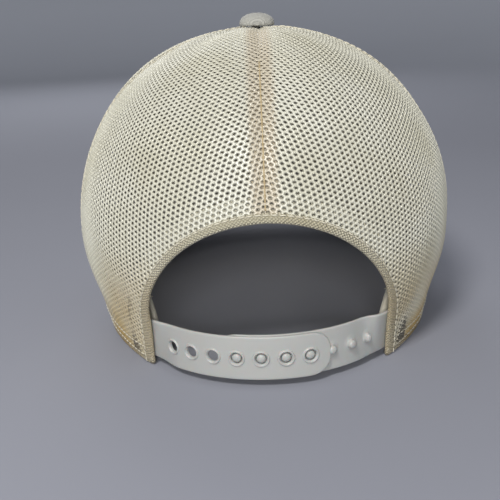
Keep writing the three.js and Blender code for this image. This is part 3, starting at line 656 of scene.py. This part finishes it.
def swept(name, path, across, outward, section, material):
    """A closed strip along a path. section holds (across, outward) offsets round it."""
    section = np.asarray(section, float)
    rings = (path[:, None] + across[:, None] * section[None, :, :1] + outward[:, None] * section[None, :, 1:])
    count, sides = rings.shape[:2]
    faces = []
    for r in range(count - 1):
        for s in range(sides):
            after = (s + 1) % sides
            faces.append([r * sides + s, r * sides + after, (r + 1) * sides + after, (r + 1) * sides + s])
    faces.append(list(range(sides))[::-1])
    faces.append([(count - 1) * sides + s for s in range(sides)])
    run = np.concatenate([[0], np.cumsum(np.linalg.norm(np.diff(path, axis=0), axis=1))])
    around = np.concatenate([[0], np.cumsum(np.linalg.norm(np.diff(section, axis=0), axis=1))])
    uv = np.stack(np.meshgrid(run, around, indexing="ij"), -1)
    return add_piece(name, rings, faces, material, uv)


def directions(path, angle, rise):
    """Unit vectors along the wall across a path on it, and out of the wall."""
    ahead = np.gradient(path, axis=0)
    ahead /= np.linalg.norm(ahead, axis=1, keepdims=True)
    outward = crown(angle, rise, 0.001) - crown(angle, rise, 0.0)
    outward /= np.linalg.norm(outward, axis=1, keepdims=True)
    across = np.cross(ahead, outward)
    return across / np.linalg.norm(across, axis=1, keepdims=True), outward


def dome_section(half_width, height, sunk, steps=8):
    arc = np.linspace(0, math.pi, steps)
    rounded = [(half_width * math.cos(t), height * math.sin(t)) for t in arc]
    return [(half_width, -sunk)] + rounded + [(-half_width, -sunk)]


def seam_fold(name, seam, bottom):
    rise = np.linspace(float(rise_at(bottom)), rise_at_radius(0.008), 110)
    angle = np.full_like(rise, seam)
    path = crown(angle, rise, 0.0002)
    fold = swept(name, path, *directions(path, angle, rise),
                 dome_section(FOLD_HALF_WIDTH, FOLD_HEIGHT, 0.0003), knit_finish)
    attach(fold, CROWN)


for side, sign in (("left", 1), ("right", -1)):
    seam_fold(f"{side}_front_seam_fold", sign * FRONT_SEAM, float(edge_height(FRONT_SEAM)))
    seam_fold(f"{side}_side_seam_fold", sign * SIDE_SEAM, float(edge_height(SIDE_SEAM)))

# The back seam has no fold, only a thin strip of thread down its joint. Its dark amber is partly the thread's own
# colour and partly painted shade in the seam line.
JOIN_HALF_WIDTH, JOIN_TOP = 0.0003, 0.128
join_rise = np.linspace(float(rise_at(ARCH_TOP + 0.004)), float(rise_at(JOIN_TOP)), 110)
join_angle = np.full_like(join_rise, BACK_SEAM)
join_path = crown(join_angle, join_rise, 0.0004)
join_thread_shade_finish = new_material("seam thread with painted seam shade", 0.6)
join_place = node(join_thread_shade_finish, "ShaderNodeTexCoord").outputs["Object"]
shaded(join_thread_shade_finish, "Base Color", colour_mix(
    join_thread_shade_finish, noise(join_thread_shade_finish, join_place, 260.0), (0.56, 0.46, 0.28, 1), (0.34, 0.25, 0.12, 1)))
back_join = swept("back_seam_join", join_path, *directions(join_path, join_angle, join_rise),
                  dome_section(JOIN_HALF_WIDTH, 0.0002, 0.0003), join_thread_shade_finish)
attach(back_join, CROWN)

# Arch binding
# The mesh is turned over twice round the opening above the straps and sewn down, which leaves a
# rounded roll at the edge with one row of thread. It runs down both tabs.
OUTER_LEAF, DOUBLED_WIDTH, ROLL_RADIUS = 0.0030, 0.0095, 0.0011


def back_angle(x, rise):
    """Angle of the wall, from the middle of the back, at a distance x from the middle plane."""
    climb = np.minimum(rise / RISE_OF_BULGE, 1)
    swell = 0.5 * (1 - (1 - climb) ** 2) + 0.5 * climb**2 * (3 - 2 * climb)
    turn = np.clip((rise - RISE_OF_BULGE) / (1 - RISE_OF_BULGE), 0, 1) * math.pi / 2
    share = np.cos(turn) ** DOME_SQUARENESS
    width = (RIM_HALF_WIDTH + SIDE_BULGE * swell) * share
    length = (RIM_HALF_LENGTH + BACK_BULGE * swell) * share
    return np.arctan2(x, length * np.sqrt(1 - (x / width) ** 2))


def arch_edge(foot):
    """Angles and rises along the arch's edge, from the right tab's foot to the left one's."""
    bend = np.sin(np.linspace(-math.pi / 2, math.pi / 2, 120))
    x = np.concatenate([np.full(24, -1.0), bend, np.full(24, 1.0)]) * ARCH_HALF_WIDTH
    straight = np.linspace(foot, ARCH_SIDE, 24, endpoint=False)
    height = np.concatenate([straight, arch_height(bend * ARCH_HALF_WIDTH), straight[::-1]])
    rise = rise_at(height)
    return math.pi - back_angle(x, rise), rise


arch_angle, arch_rise = arch_edge(0.0012)
arch_path = crown(arch_angle, arch_rise)
arch_across, arch_outward = directions(arch_path, arch_angle, arch_rise)
if (arch_path + arch_across * 0.01)[72, 2] < arch_path[72, 2]:
    arch_across = -arch_across
roll = [(DOUBLED_WIDTH, -0.0006), (OUTER_LEAF, -0.0003), (OUTER_LEAF, 0.0006), (OUTER_LEAF * 0.6, 0.0009)]
roll += [(0.0002 - ROLL_RADIUS * math.sin(t), ROLL_RADIUS * math.cos(t)) for t in np.linspace(0, math.pi, 9)]
roll += [(OUTER_LEAF, -0.0012), (DOUBLED_WIDTH, -0.0012)]
on_tab = np.clip((ARCH_SIDE + 0.014 - arch_path[:, 2]) / 0.016, 0, 1)
arch_binding = swept("arch_binding_roll", arch_path, arch_across * (1 + 0.45 * on_tab)[:, None], arch_outward,
                     roll, knit_finish)
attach(arch_binding, CROWN)
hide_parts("arch_binding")
stitch_rows("arch_stitches", [arch_path + arch_across * (OUTER_LEAF * 0.8) * (1 + 0.45 * on_tab)[:, None]
                              + arch_outward * 0.0010])

# Lower hems
# The mesh is turned up inside along the lower edge from the visor to each tab.
HEM_WIDTH = 0.009


def lower_hem(side, sign):
    end = math.pi - float(back_angle(np.array(ARCH_HALF_WIDTH), np.array(0.01)))
    angle = sign * np.linspace(FRONT_SEAM, end, 90)
    rise = rise_at(edge_height(angle))
    path = crown(angle, rise)
    outward = crown(angle, rise, 0.001) - path
    outward[:, 2] = 0
    outward /= np.linalg.norm(outward, axis=1, keepdims=True)
    up = crown(angle, rise_at(edge_height(angle) + 0.004)) - path
    up /= np.linalg.norm(up, axis=1, keepdims=True)
    section = [(HEM_WIDTH, -0.0006), (HEM_WIDTH * 0.5, -0.0006), (0.0012, 0.0001)]
    section += [(-0.0002 - 0.0010 * math.sin(t), 0.0011 * math.cos(t)) for t in np.linspace(0, math.pi, 8)]
    section += [(0.0015, -0.0012), (HEM_WIDTH * 0.5, -0.0013), (HEM_WIDTH, -0.0012)]
    hem = swept(f"{side}_hem_roll", path, up, outward, section, knit_finish)
    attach(hem, CROWN)
    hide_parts(f"{side}_lower_hem")
    rows = [crown(angle, rise_at(edge_height(angle) + lift), 0.0008) for lift in (0.0024, 0.0075)]
    stitch_rows(f"{side}_hem_stitches", rows)


lower_hem("left", 1)
lower_hem("right", -1)

# Sweatband
# A folded band of cotton twill over thin padding, sewn to the lower edge inside, from tab to tab.
BAND_HEIGHT, BAND_SET_BACK, BAND_THICKNESS = 0.032, 0.0056, 0.0016
band_finish = woven_cloth("sweatband twill", (0.74, 0.71, 0.60, 1), (0.60, 0.52, 0.36, 1), 0.0008, 0.9)
band_end = math.pi - float(back_angle(np.array(ARCH_HALF_WIDTH), np.array(0.01)))
band_angle = np.linspace(-band_end, band_end, 181)[:, None]
band_share = np.linspace(0, 1, 15)[None, :]
band_rise = rise_at(edge_height(band_angle) + 0.001 + BAND_HEIGHT * band_share)
band_puff = 0.0006 * np.sin(math.pi * band_share) + 0 * band_angle
band_uv = np.stack([band_angle * 0.08 + 0 * band_share, band_share * BAND_HEIGHT + 0 * band_angle], -1)
sweatband = slab("sweatband_twill", crown(band_angle, band_rise, -BAND_SET_BACK),
                 crown(band_angle, band_rise, -BAND_SET_BACK - BAND_THICKNESS - band_puff), band_finish, band_uv)
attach(sweatband, CROWN)
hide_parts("sweatband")
band_row = crown(band_angle[:, 0], rise_at(edge_height(band_angle[:, 0]) + 0.029), -BAND_SET_BACK - BAND_THICKNESS - 0.0003)
stitch_rows("sweatband_stitches", [band_row])

# Visor
# A stiff plastic board between two covers of the front's cloth, sewn round the edge and quilted
# with rows of thread that follow the outline.
VISOR_HALF_WIDTH, VISOR_WIDEST, VISOR_TIP, VISOR_SLOPE = 0.091, 0.088, 0.164, 0.11
VISOR_ANGLE, VISOR_CORNER = math.radians(62), 0.003
VISOR_THICKNESS, VISOR_COVER, VISOR_ROUNDING = 0.0048, 0.0008, 0.0035
VISOR_ROWS = 7


def visor_height(x, y):
    arch = FRONT_LIFT / VISOR_HALF_WIDTH**2
    return np.maximum(FRONT_LIFT + VISOR_SLOPE * (y + RIM_HALF_LENGTH) - arch * x**2, 0)


def visor_outline(place):
    """Outline in plan, from one corner at the crown (-1) round the tip (0) to the other (+1)."""
    corner = wall(np.array(VISOR_ANGLE), np.array(0.0))
    behind = math.acos((corner[0] + VISOR_CORNER) / VISOR_HALF_WIDTH)
    back_length = (VISOR_WIDEST + corner[1]) / math.sin(behind)
    turn = math.pi / 2 - np.abs(place) * (math.pi / 2 + behind)
    length = np.where(turn > 0, VISOR_TIP - VISOR_WIDEST, back_length)
    return np.stack([np.sign(place) * VISOR_HALF_WIDTH * np.cos(turn), -VISOR_WIDEST - length * np.sin(turn)], -1)


def visor_spot(place, inset):
    """Plan point at a distance inside the outline, on the line from the crown to it."""
    outer = visor_outline(place)
    angle = place * VISOR_ANGLE
    inner = crown(angle, rise_at(edge_height(angle) + 0.002), 0.0007)[..., :2]
    reach = np.linalg.norm(outer - inner, axis=-1)
    share = np.minimum(inset / reach, 1)[..., None]
    return outer * (1 - share) + inner * share, reach


def visor_cover(name, top, replaced):
    place = np.linspace(-1, 1, 145)[:, None]
    _, reach = visor_spot(place, np.zeros_like(place))
    near_edge = np.array([0, 0.02, 0.07, 0.16, 0.3, 0.5, 0.75, 1.0])
    inward = np.concatenate([near_edge * VISOR_ROUNDING, np.linspace(VISOR_ROUNDING, 0.13, 26)[1:]])
    inset = np.minimum(inward[None, :], reach)
    plan, _ = visor_spot(place, inset)
    bend = np.clip(inset / VISOR_ROUNDING, 0, 1)
    half = VISOR_THICKNESS / 2 * np.sqrt(1 - (1 - bend) ** 2)
    middle = visor_height(plan[..., 0], plan[..., 1]) + VISOR_THICKNESS / 2
    side = 1 if top else -1
    face = np.concatenate([plan, (middle + side * half)[..., None]], -1)
    lining = np.concatenate([plan, (middle + side * np.maximum(half - VISOR_COVER, 0.0))[..., None]], -1)
    uv = plan
    cover = slab(name, face, lining, front_cloth_finish, uv)
    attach(cover, CROWN)
    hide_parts(replaced)


visor_cover("visor_upper_cloth", True, "visor_top_cover")
visor_cover("visor_lower_cloth", False, "visor_under_cover")
visor_rows = []
for row in range(VISOR_ROWS):
    spots = np.linspace(-0.93, 0.93, 160)
    _, reach = visor_spot(spots, np.zeros_like(spots))
    inset = np.minimum(0.0042 + row * 0.0068, reach * (0.25 + 0.09 * row))
    plan, _ = visor_spot(spots, inset)
    for lift in (VISOR_THICKNESS + 0.00005, -0.00005):
        visor_rows.append(np.column_stack([plan, visor_height(plan[:, 0], plan[:, 1]) + lift]))
stitch_rows("visor_stitches", visor_rows, pitch=0.0036, half_length=0.0016)

board_finish = new_material("visor board", 0.45)
board_place = node(board_finish, "ShaderNodeTexCoord").outputs["Object"]
shaded(board_finish, "Base Color", colour_mix(
    board_finish, noise(board_finish, board_place, 60.0), (0.74, 0.74, 0.72, 1), (0.66, 0.66, 0.63, 1)))

# Snap straps
# Two moulded polyethylene straps with their ends sewn inside the tabs. The hole strap has seven
# ringed holes and lies over the peg strap, whose seven round pegs snap up through them.
STRAP_WIDTH, STRAP_THICKNESS, STRAP_BOTTOM = 0.019, 0.0013, 0.0035
STRAP_STEP = STRAP_THICKNESS + 0.0006
SNAP_PITCH, SNAP_COUNT = 0.010, 7
FIRST_HOLE, FIRST_PEG, STRAP_END = 0.0105, 0.008, 0.0085
HOLE_RADIUS, RING_INNER, RING_OUTER, RING_HEIGHT = 0.00235, 0.0027, 0.0036, 0.0006
PEG_RADIUS, PEG_HEIGHT = 0.0019, 0.0022
TAIL_LENGTH = 0.013
EDGE_ROUNDING = 0.0004
joints = {joint["name"]: joint for joint in frame["record"]["behaviour"]["joints"]}
left_hinge = np.array(joints["hole_strap_swing"]["pos_m"])
right_hinge = np.array(joints["peg_strap_swing"]["pos_m"])
strap_span = FIRST_HOLE + FIRST_PEG + 9 * SNAP_PITCH


def arc_half_angle(half_chord):
    low, high = 0.01, math.pi / 2
    for _ in range(50):
        middle = (low + high) / 2
        if math.sin(middle) / middle > half_chord / (strap_span / 2):
            low = middle
        else:
            high = middle
    return low


half_chord = (left_hinge[0] - right_hinge[0]) / 2
STRAP_HALF_ANGLE = arc_half_angle(half_chord)
STRAP_RADIUS = strap_span / 2 / STRAP_HALF_ANGLE
STRAP_CENTRE = (left_hinge[1] + right_hinge[1]) / 2 - STRAP_RADIUS * math.cos(STRAP_HALF_ANGLE)


def plastic(name, pale, dark):
    """Moulded polyethylene: smooth, faintly cloudy, with fine handling scratches."""
    material = new_material(name, 0.38, Specular_IOR_Level=0.5, Subsurface_Weight=0.15, Subsurface_Scale=0.002)
    place = node(material, "ShaderNodeTexCoord").outputs["Object"]
    shaded(material, "Base Color", colour_mix(material, noise(material, place, 45.0), pale, dark))
    shaded(material, "Roughness", sharpened(material, noise(material, place, 400.0), 0.3, 0.7, 0.30, 0.46))
    bumped(material, noise(material, place, 160.0), 0.00008)
    return material


strap_finish = plastic("strap polyethylene", (0.47, 0.48, 0.46, 1), (0.43, 0.43, 0.41, 1))


TUCK_DEPTH, TUCK_START, TUCK_END, TUCK_SLANT = 0.00215, -0.003, 0.014, 0.66


def strap_place(side, level, along, up, out):
    """Bends a flat strap. side is +1 for the one sewn at +X, and along starts at its hinge line."""
    turn = side * (STRAP_HALF_ANGLE - along / STRAP_RADIUS)
    radius = STRAP_RADIUS + level + out
    bent = np.stack([radius * np.sin(turn), STRAP_CENTRE + radius * np.cos(turn), STRAP_BOTTOM + up], -1)
    near = np.minimum(along, 0.03)
    rise = rise_at(STRAP_BOTTOM + up)
    x = side * (abs(left_hinge[0] if side > 0 else right_hinge[0]) - near * TUCK_SLANT)
    tucked = crown(math.pi - back_angle(x, rise), rise, out - TUCK_DEPTH)
    share = np.clip((along - TUCK_START) / (TUCK_END - TUCK_START), 0, 1)
    share = (share * share * (3 - 2 * share))[..., None]
    return tucked * (1 - share) + bent * share


def snap_profile(hole, way):
    """(radius, height above the strap's face) from the strap's face in to a hole's wall or a peg's top."""
    if hole and way > 0:
        return [(0.0043, 0), (RING_OUTER, 0), (0.00345, 0.0004), (0.0032, RING_HEIGHT), (0.0029, RING_HEIGHT),
                (RING_INNER, 0.00045), (0.0025, 0), (HOLE_RADIUS, -0.0002)]
    if hole:
        return [(0.0043, 0), (0.0030, 0), (0.0026, 0), (HOLE_RADIUS, -0.0002)]
    if way > 0:
        return [(0.0043, 0), (0.0026, 0), (0.0021, 0.0003), (PEG_RADIUS, 0.0009), (PEG_RADIUS, 0.0014),
                (0.0016, 0.0019), (0.0010, PEG_HEIGHT), (0.0004, PEG_HEIGHT + 0.0001)]
    return [(0.0043, 0), (0.0022, 0), (0.0018, -0.0003), (0.0008, -0.0004)]


ACROSS, ALONG, FLAT_MARGIN, TIP_CURVE = 16, 8, 0.0008, 2.5


class StrapShape:
    """One strap laid flat: a plain sewn end, a square of plastic round each snap, a rounded free end."""

    def __init__(self, first, hole):
        self.points, self.faces = [], []
        self.first, self.hole = first, hole
        self.half, self.top = STRAP_WIDTH / 2, STRAP_THICKNESS / 2
        self.tip = first + (SNAP_COUNT - 1) * SNAP_PITCH + STRAP_END

    def put(self, along, up, out):
        self.points.append((along, up, out))
        return len(self.points) - 1

    def reach(self, along):
        past = min(max((along - (self.tip - self.half)) / self.half, 0), 1)
        return max((1 - past**TIP_CURVE) ** (1 / TIP_CURVE), 0.03)

    def band(self, a, b, ring=True):
        for k in range(len(a) if ring else len(a) - 1):
            after = (k + 1) % len(a)
            self.faces.append([a[k], a[after], b[after], b[k]])

    def snap(self, centre):
        flat_half = self.half - EDGE_ROUNDING
        side_up = [-1 + 2 * j / ACROSS for j in range(ACROSS)]
        square = [(-0.5, y) for y in side_up] + [(-0.5 + i / ALONG, 1) for i in range(ALONG)]
        square += [(0.5, -y) for y in side_up] + [(0.5 - i / ALONG, -1) for i in range(ALONG)]
        turns = [math.atan2(y * flat_half, x * SNAP_PITCH) for x, y in square]
        for way in (1, -1):
            rings = []
            for shrink_x, margin in ((1.0, 0.0), (0.93, FLAT_MARGIN)):
                ring = []
                for x, y in square:
                    along = centre + x * shrink_x * SNAP_PITCH
                    up = y * (flat_half - margin) * self.reach(along)
                    ring.append(self.put(along, self.half + up, way * self.top))
                rings.append(ring)
            for radius, height in snap_profile(self.hole, way):
                rings.append([self.put(centre + radius * math.cos(t), self.half + radius * math.sin(t),
                                       way * (self.top + height)) for t in turns])
            for a, b in zip(rings, rings[1:]):
                self.band(a, b)
            if not self.hole:
                self.faces.append(rings[-1])
            elif way > 0:
                upper = rings[-1]
            else:
                self.band(upper, rings[-1])

    def plain(self, stations):
        flat_half = self.half - EDGE_ROUNDING
        for way in (1, -1):
            grid = [[self.put(along, self.half + (-1 + 2 * j / ACROSS) * flat_half * self.reach(along), way * self.top)
                     for j in range(ACROSS + 1)] for along in stations]
            for a, b in zip(grid, grid[1:]):
                self.band(a, b, ring=False)

    def edge(self, stations):
        """The rounded edge: up one side of the strap, round its free end and back."""
        flat_half = self.half - EDGE_ROUNDING
        outline = [(along, self.half - flat_half * self.reach(along)) for along in stations]
        outline += [(along, self.half + flat_half * self.reach(along)) for along in stations[::-1]]
        outline = np.array(outline)
        ahead = np.roll(outline, -1, axis=0) - np.roll(outline, 1, axis=0)
        ahead[0], ahead[-1] = (1, 0), (-1, 0)
        ahead /= np.linalg.norm(ahead, axis=1, keepdims=True)
        rings = []
        for turn in np.linspace(-math.pi / 2, math.pi / 2, 7):
            push = EDGE_ROUNDING * math.cos(turn)
            rings.append([self.put(x + push * t[1], y - push * t[0], self.top * math.sin(turn))
                          for (x, y), t in zip(outline, ahead)])
        for a, b in zip(rings, rings[1:]):
            self.band(a, b)


def strap_piece(name, side, level, first, hole, body, *replaced):
    shape = StrapShape(first, hole)
    snap_start = first - SNAP_PITCH / 2
    snap_stop = first + (SNAP_COUNT - 0.5) * SNAP_PITCH
    start = list(np.linspace(-TAIL_LENGTH, snap_start, 24))
    end = list(snap_stop + (shape.tip - snap_stop) * np.sin(np.linspace(0, math.pi / 2, 14)))
    shape.plain(start)
    shape.plain(end)
    for snap in range(SNAP_COUNT):
        shape.snap(first + snap * SNAP_PITCH)
    shape.edge(start + [snap_start + SNAP_PITCH * i / ALONG for i in range(1, ALONG * SNAP_COUNT)] + end)
    flat = np.array(shape.points)
    piece = add_piece(name, strap_place(side, level, flat[:, 0], flat[:, 1], flat[:, 2]), shape.faces, strap_finish)
    weld = piece.modifiers.new("weld", "WELD")
    weld.merge_threshold = 0.00003
    solid = bpy.data.meshes.new_from_object(piece.evaluated_get(bpy.context.evaluated_depsgraph_get()))
    piece.modifiers.remove(weld)
    piece.data = solid
    tidy = bmesh.new()
    tidy.from_mesh(solid)
    bmesh.ops.recalc_face_normals(tidy, faces=tidy.faces)
    tidy.to_mesh(solid)
    tidy.free()
    solid.set_sharp_from_angle(angle=math.radians(35))
    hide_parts(*replaced)
    middle = STRAP_WIDTH / 2
    start_point = strap_place(side, level, np.array(-0.003), np.array(middle), np.array(0.0))
    end_point = strap_place(side, level, np.array(0.004), np.array(middle), np.array(0.0))
    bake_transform(piece)


strap_piece("hole_strap_moulding", 1, STRAP_STEP / 2, FIRST_HOLE, True, "hole_strap", "hole_strap", "hole_strap_tail")
strap_piece("peg_strap_moulding", -1, -STRAP_STEP / 2, FIRST_PEG, False, "peg_strap", "peg_strap", "peg_strap_tail")

# Top button
# A pressed metal shell covered with cloth sits over the meeting of the panels, held by a rivet
# whose washer bears on the tapes inside.
BUTTON_RADIUS, BUTTON_HEIGHT, BUTTON_FOOT = 0.0083, 0.0056, 0.14105


def turned(name, profile, material, sides=56):
    """A turned solid on the crown's axis, from (radius, height) points that start and end on the axis."""
    points, faces = [], []
    rings = []
    for radius, height in profile:
        if radius < 1e-6:
            points.append((0, 0, height))
            rings.append([len(points) - 1])
        else:
            rings.append(list(range(len(points), len(points) + sides)))
            for s in range(sides):
                turn = 2 * math.pi * s / sides
                points.append((radius * math.cos(turn), radius * math.sin(turn), height))
    for a, b in zip(rings, rings[1:]):
        for s in range(sides):
            after = (s + 1) % sides
            if len(a) == 1:
                faces.append([a[0], b[s], b[after]])
            elif len(b) == 1:
                faces.append([a[s], a[after], b[0]])
            else:
                faces.append([a[s], a[after], b[after], b[s]])
    return add_piece(name, points, faces, material, np.array(points)[:, :2])


button_low, button_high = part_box("button_cloth")
dome = [(BUTTON_RADIUS * math.cos(t) ** 0.9, button_low.z + 0.0008 + (BUTTON_HEIGHT - 0.0008) * math.sin(t))
        for t in np.linspace(0, math.pi / 2, 14)[:-1]]
cover = [(0, button_low.z + BUTTON_HEIGHT - 0.0007), (0.0076, button_low.z + 0.0002), (0.0079, button_low.z - 0.0004),
         (0.0083, button_low.z)] + dome + [(0, button_low.z + BUTTON_HEIGHT)]
# Painted shade: the button's cloth is darker and greyer than the front's cloth, which stands in for the shade on the
# button.
button_shade_finish = woven_cloth("button cloth", (0.47, 0.47, 0.43, 1), (0.43, 0.42, 0.37, 1), 0.0006)
button = turned("button_cloth_cover", cover, button_shade_finish)
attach(button, CROWN)
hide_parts("button_cloth")

steel_finish = new_material("tinned steel", 0.35, Metallic=1.0)
steel_place = node(steel_finish, "ShaderNodeTexCoord").outputs["Object"]
shaded(steel_finish, "Base Color", colour_mix(
    steel_finish, noise(steel_finish, steel_place, 250.0), (0.62, 0.62, 0.62, 1), (0.45, 0.44, 0.42, 1)))
for item in bpy.context.scene.objects:
    name = item.get("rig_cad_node")
    if name in ("button_shell", "button_rivet", "button_washer", "visor_board"):
        finish = board_finish if name == "visor_board" else steel_finish
        item.data.materials.clear()
        item.data.materials.append(finish)
bpy.data.objects.remove(stitch)

# Stage
# A plain pale floor and backdrop with soft lamps, and the camera behind the cap.
FLOOR_COLOUR = (0.30, 0.31, 0.36, 1)
floor_finish = new_material("studio paper", 0.95)
floor_place = node(floor_finish, "ShaderNodeTexCoord").outputs["Object"]
shaded(floor_finish, "Base Color", colour_mix(
    floor_finish, noise(floor_finish, floor_place, 3.0), FLOOR_COLOUR, (0.32, 0.33, 0.38, 1)))
# Painted light: the floor and backdrop glow more the further they are from the middle, up to a faint bluish glow that
# only camera rays see. It stands in for light on the far backdrop.
far = node(floor_finish, "ShaderNodeVectorMath", {0: floor_place}, operation="LENGTH").outputs[1]
seen = node(floor_finish, "ShaderNodeLightPath").outputs["Is Camera Ray"]
glow = multiplied(floor_finish, sharpened(floor_finish, far, 0.5, 2.2, 0.0, 0.16), seen)
shaded(floor_finish, "Emission Strength", glow)
floor_finish.node_tree.nodes["Principled BSDF"].inputs["Emission Color"].default_value = (0.85, 0.9, 1.0, 1)
sweep_profile = [(0, 0), (0.5, 0), (1.0, 0), (1.6, 0)]
sweep_profile += [(1.6 + 1.2 * math.sin(t), 1.2 - 1.2 * math.cos(t)) for t in np.linspace(0.1, math.pi / 2, 14)]
sweep_profile += [(2.8, 3.0)]
sweep_points, sweep_faces = [(0, 0, 0)], []
for radius, height in sweep_profile[1:]:
    sweep_points += [(radius * math.cos(t), radius * math.sin(t), height)
                     for t in np.linspace(0, 2 * math.pi, 96, endpoint=False)]
for s in range(96):
    sweep_faces.append((0, 1 + s, 1 + (s + 1) % 96))
for r in range(len(sweep_profile) - 2):
    for s in range(96):
        a, b = 1 + r * 96 + s, 1 + r * 96 + (s + 1) % 96
        sweep_faces.append((a, a + 96, b + 96, b))
sweep_mesh = bpy.data.meshes.new("studio_sweep")
sweep_mesh.from_pydata(sweep_points, [], sweep_faces)
sweep_mesh.polygons.foreach_set("use_smooth", [True] * len(sweep_mesh.polygons))
sweep_mesh.materials.append(floor_finish)
studio = bpy.data.objects.new("studio_sweep", sweep_mesh)
bpy.context.scene.collection.objects.link(studio)


def lamp(name, place, aim, size, power, colour=(1, 1, 1)):
    light = bpy.data.lights.new(name, "AREA")
    light.shape, light.size, light.energy, light.color = "DISK", size, power, colour
    holder = bpy.data.objects.new(name, light)
    holder.location = place
    direction = Vector(aim) - Vector(place)
    holder.rotation_euler = direction.to_track_quat("-Z", "Y").to_euler()
    bpy.context.scene.collection.objects.link(holder)


lamp("key", (0.26, 0.75, 0.90), (0, 0, 0.07), 0.28, 8.0, (1.0, 0.98, 0.95))
lamp("camera_side", (0.05, 1.0, 0.34), (0, 0, 0.05), 0.35, 5.0)
lamp("fill", (-1.0, 0.3, 0.6), (0, 0, 0.07), 0.8, 0.4, (0.93, 0.96, 1.0))
lamp("front", (0.3, -1.1, 0.8), (0, 0, 0.07), 0.9, 4.5)
world = bpy.data.worlds.new("room")
bpy.context.scene.world = world
world.use_nodes = True
world.node_tree.nodes["Background"].inputs[0].default_value = (0.42, 0.44, 0.49, 1)
world.node_tree.nodes["Background"].inputs[1].default_value = 0.48

camera_data = bpy.data.cameras.new("camera")
camera_data.sensor_width = 36.0
camera_data.lens = 55.97
camera = bpy.data.objects.new("camera", camera_data)
camera.location = (0.0030, 0.3853, 0.1485)
tilt = Matrix.Rotation(math.radians(180.7), 4, "Z") @ Matrix.Rotation(math.radians(90 - 17.23), 4, "X")
camera.rotation_euler = (tilt @ Matrix.Rotation(math.radians(-2.39), 4, "Z")).to_euler()
bpy.context.scene.collection.objects.link(camera)
bpy.context.scene.camera = camera
bpy.context.scene.view_settings.view_transform = "Standard"
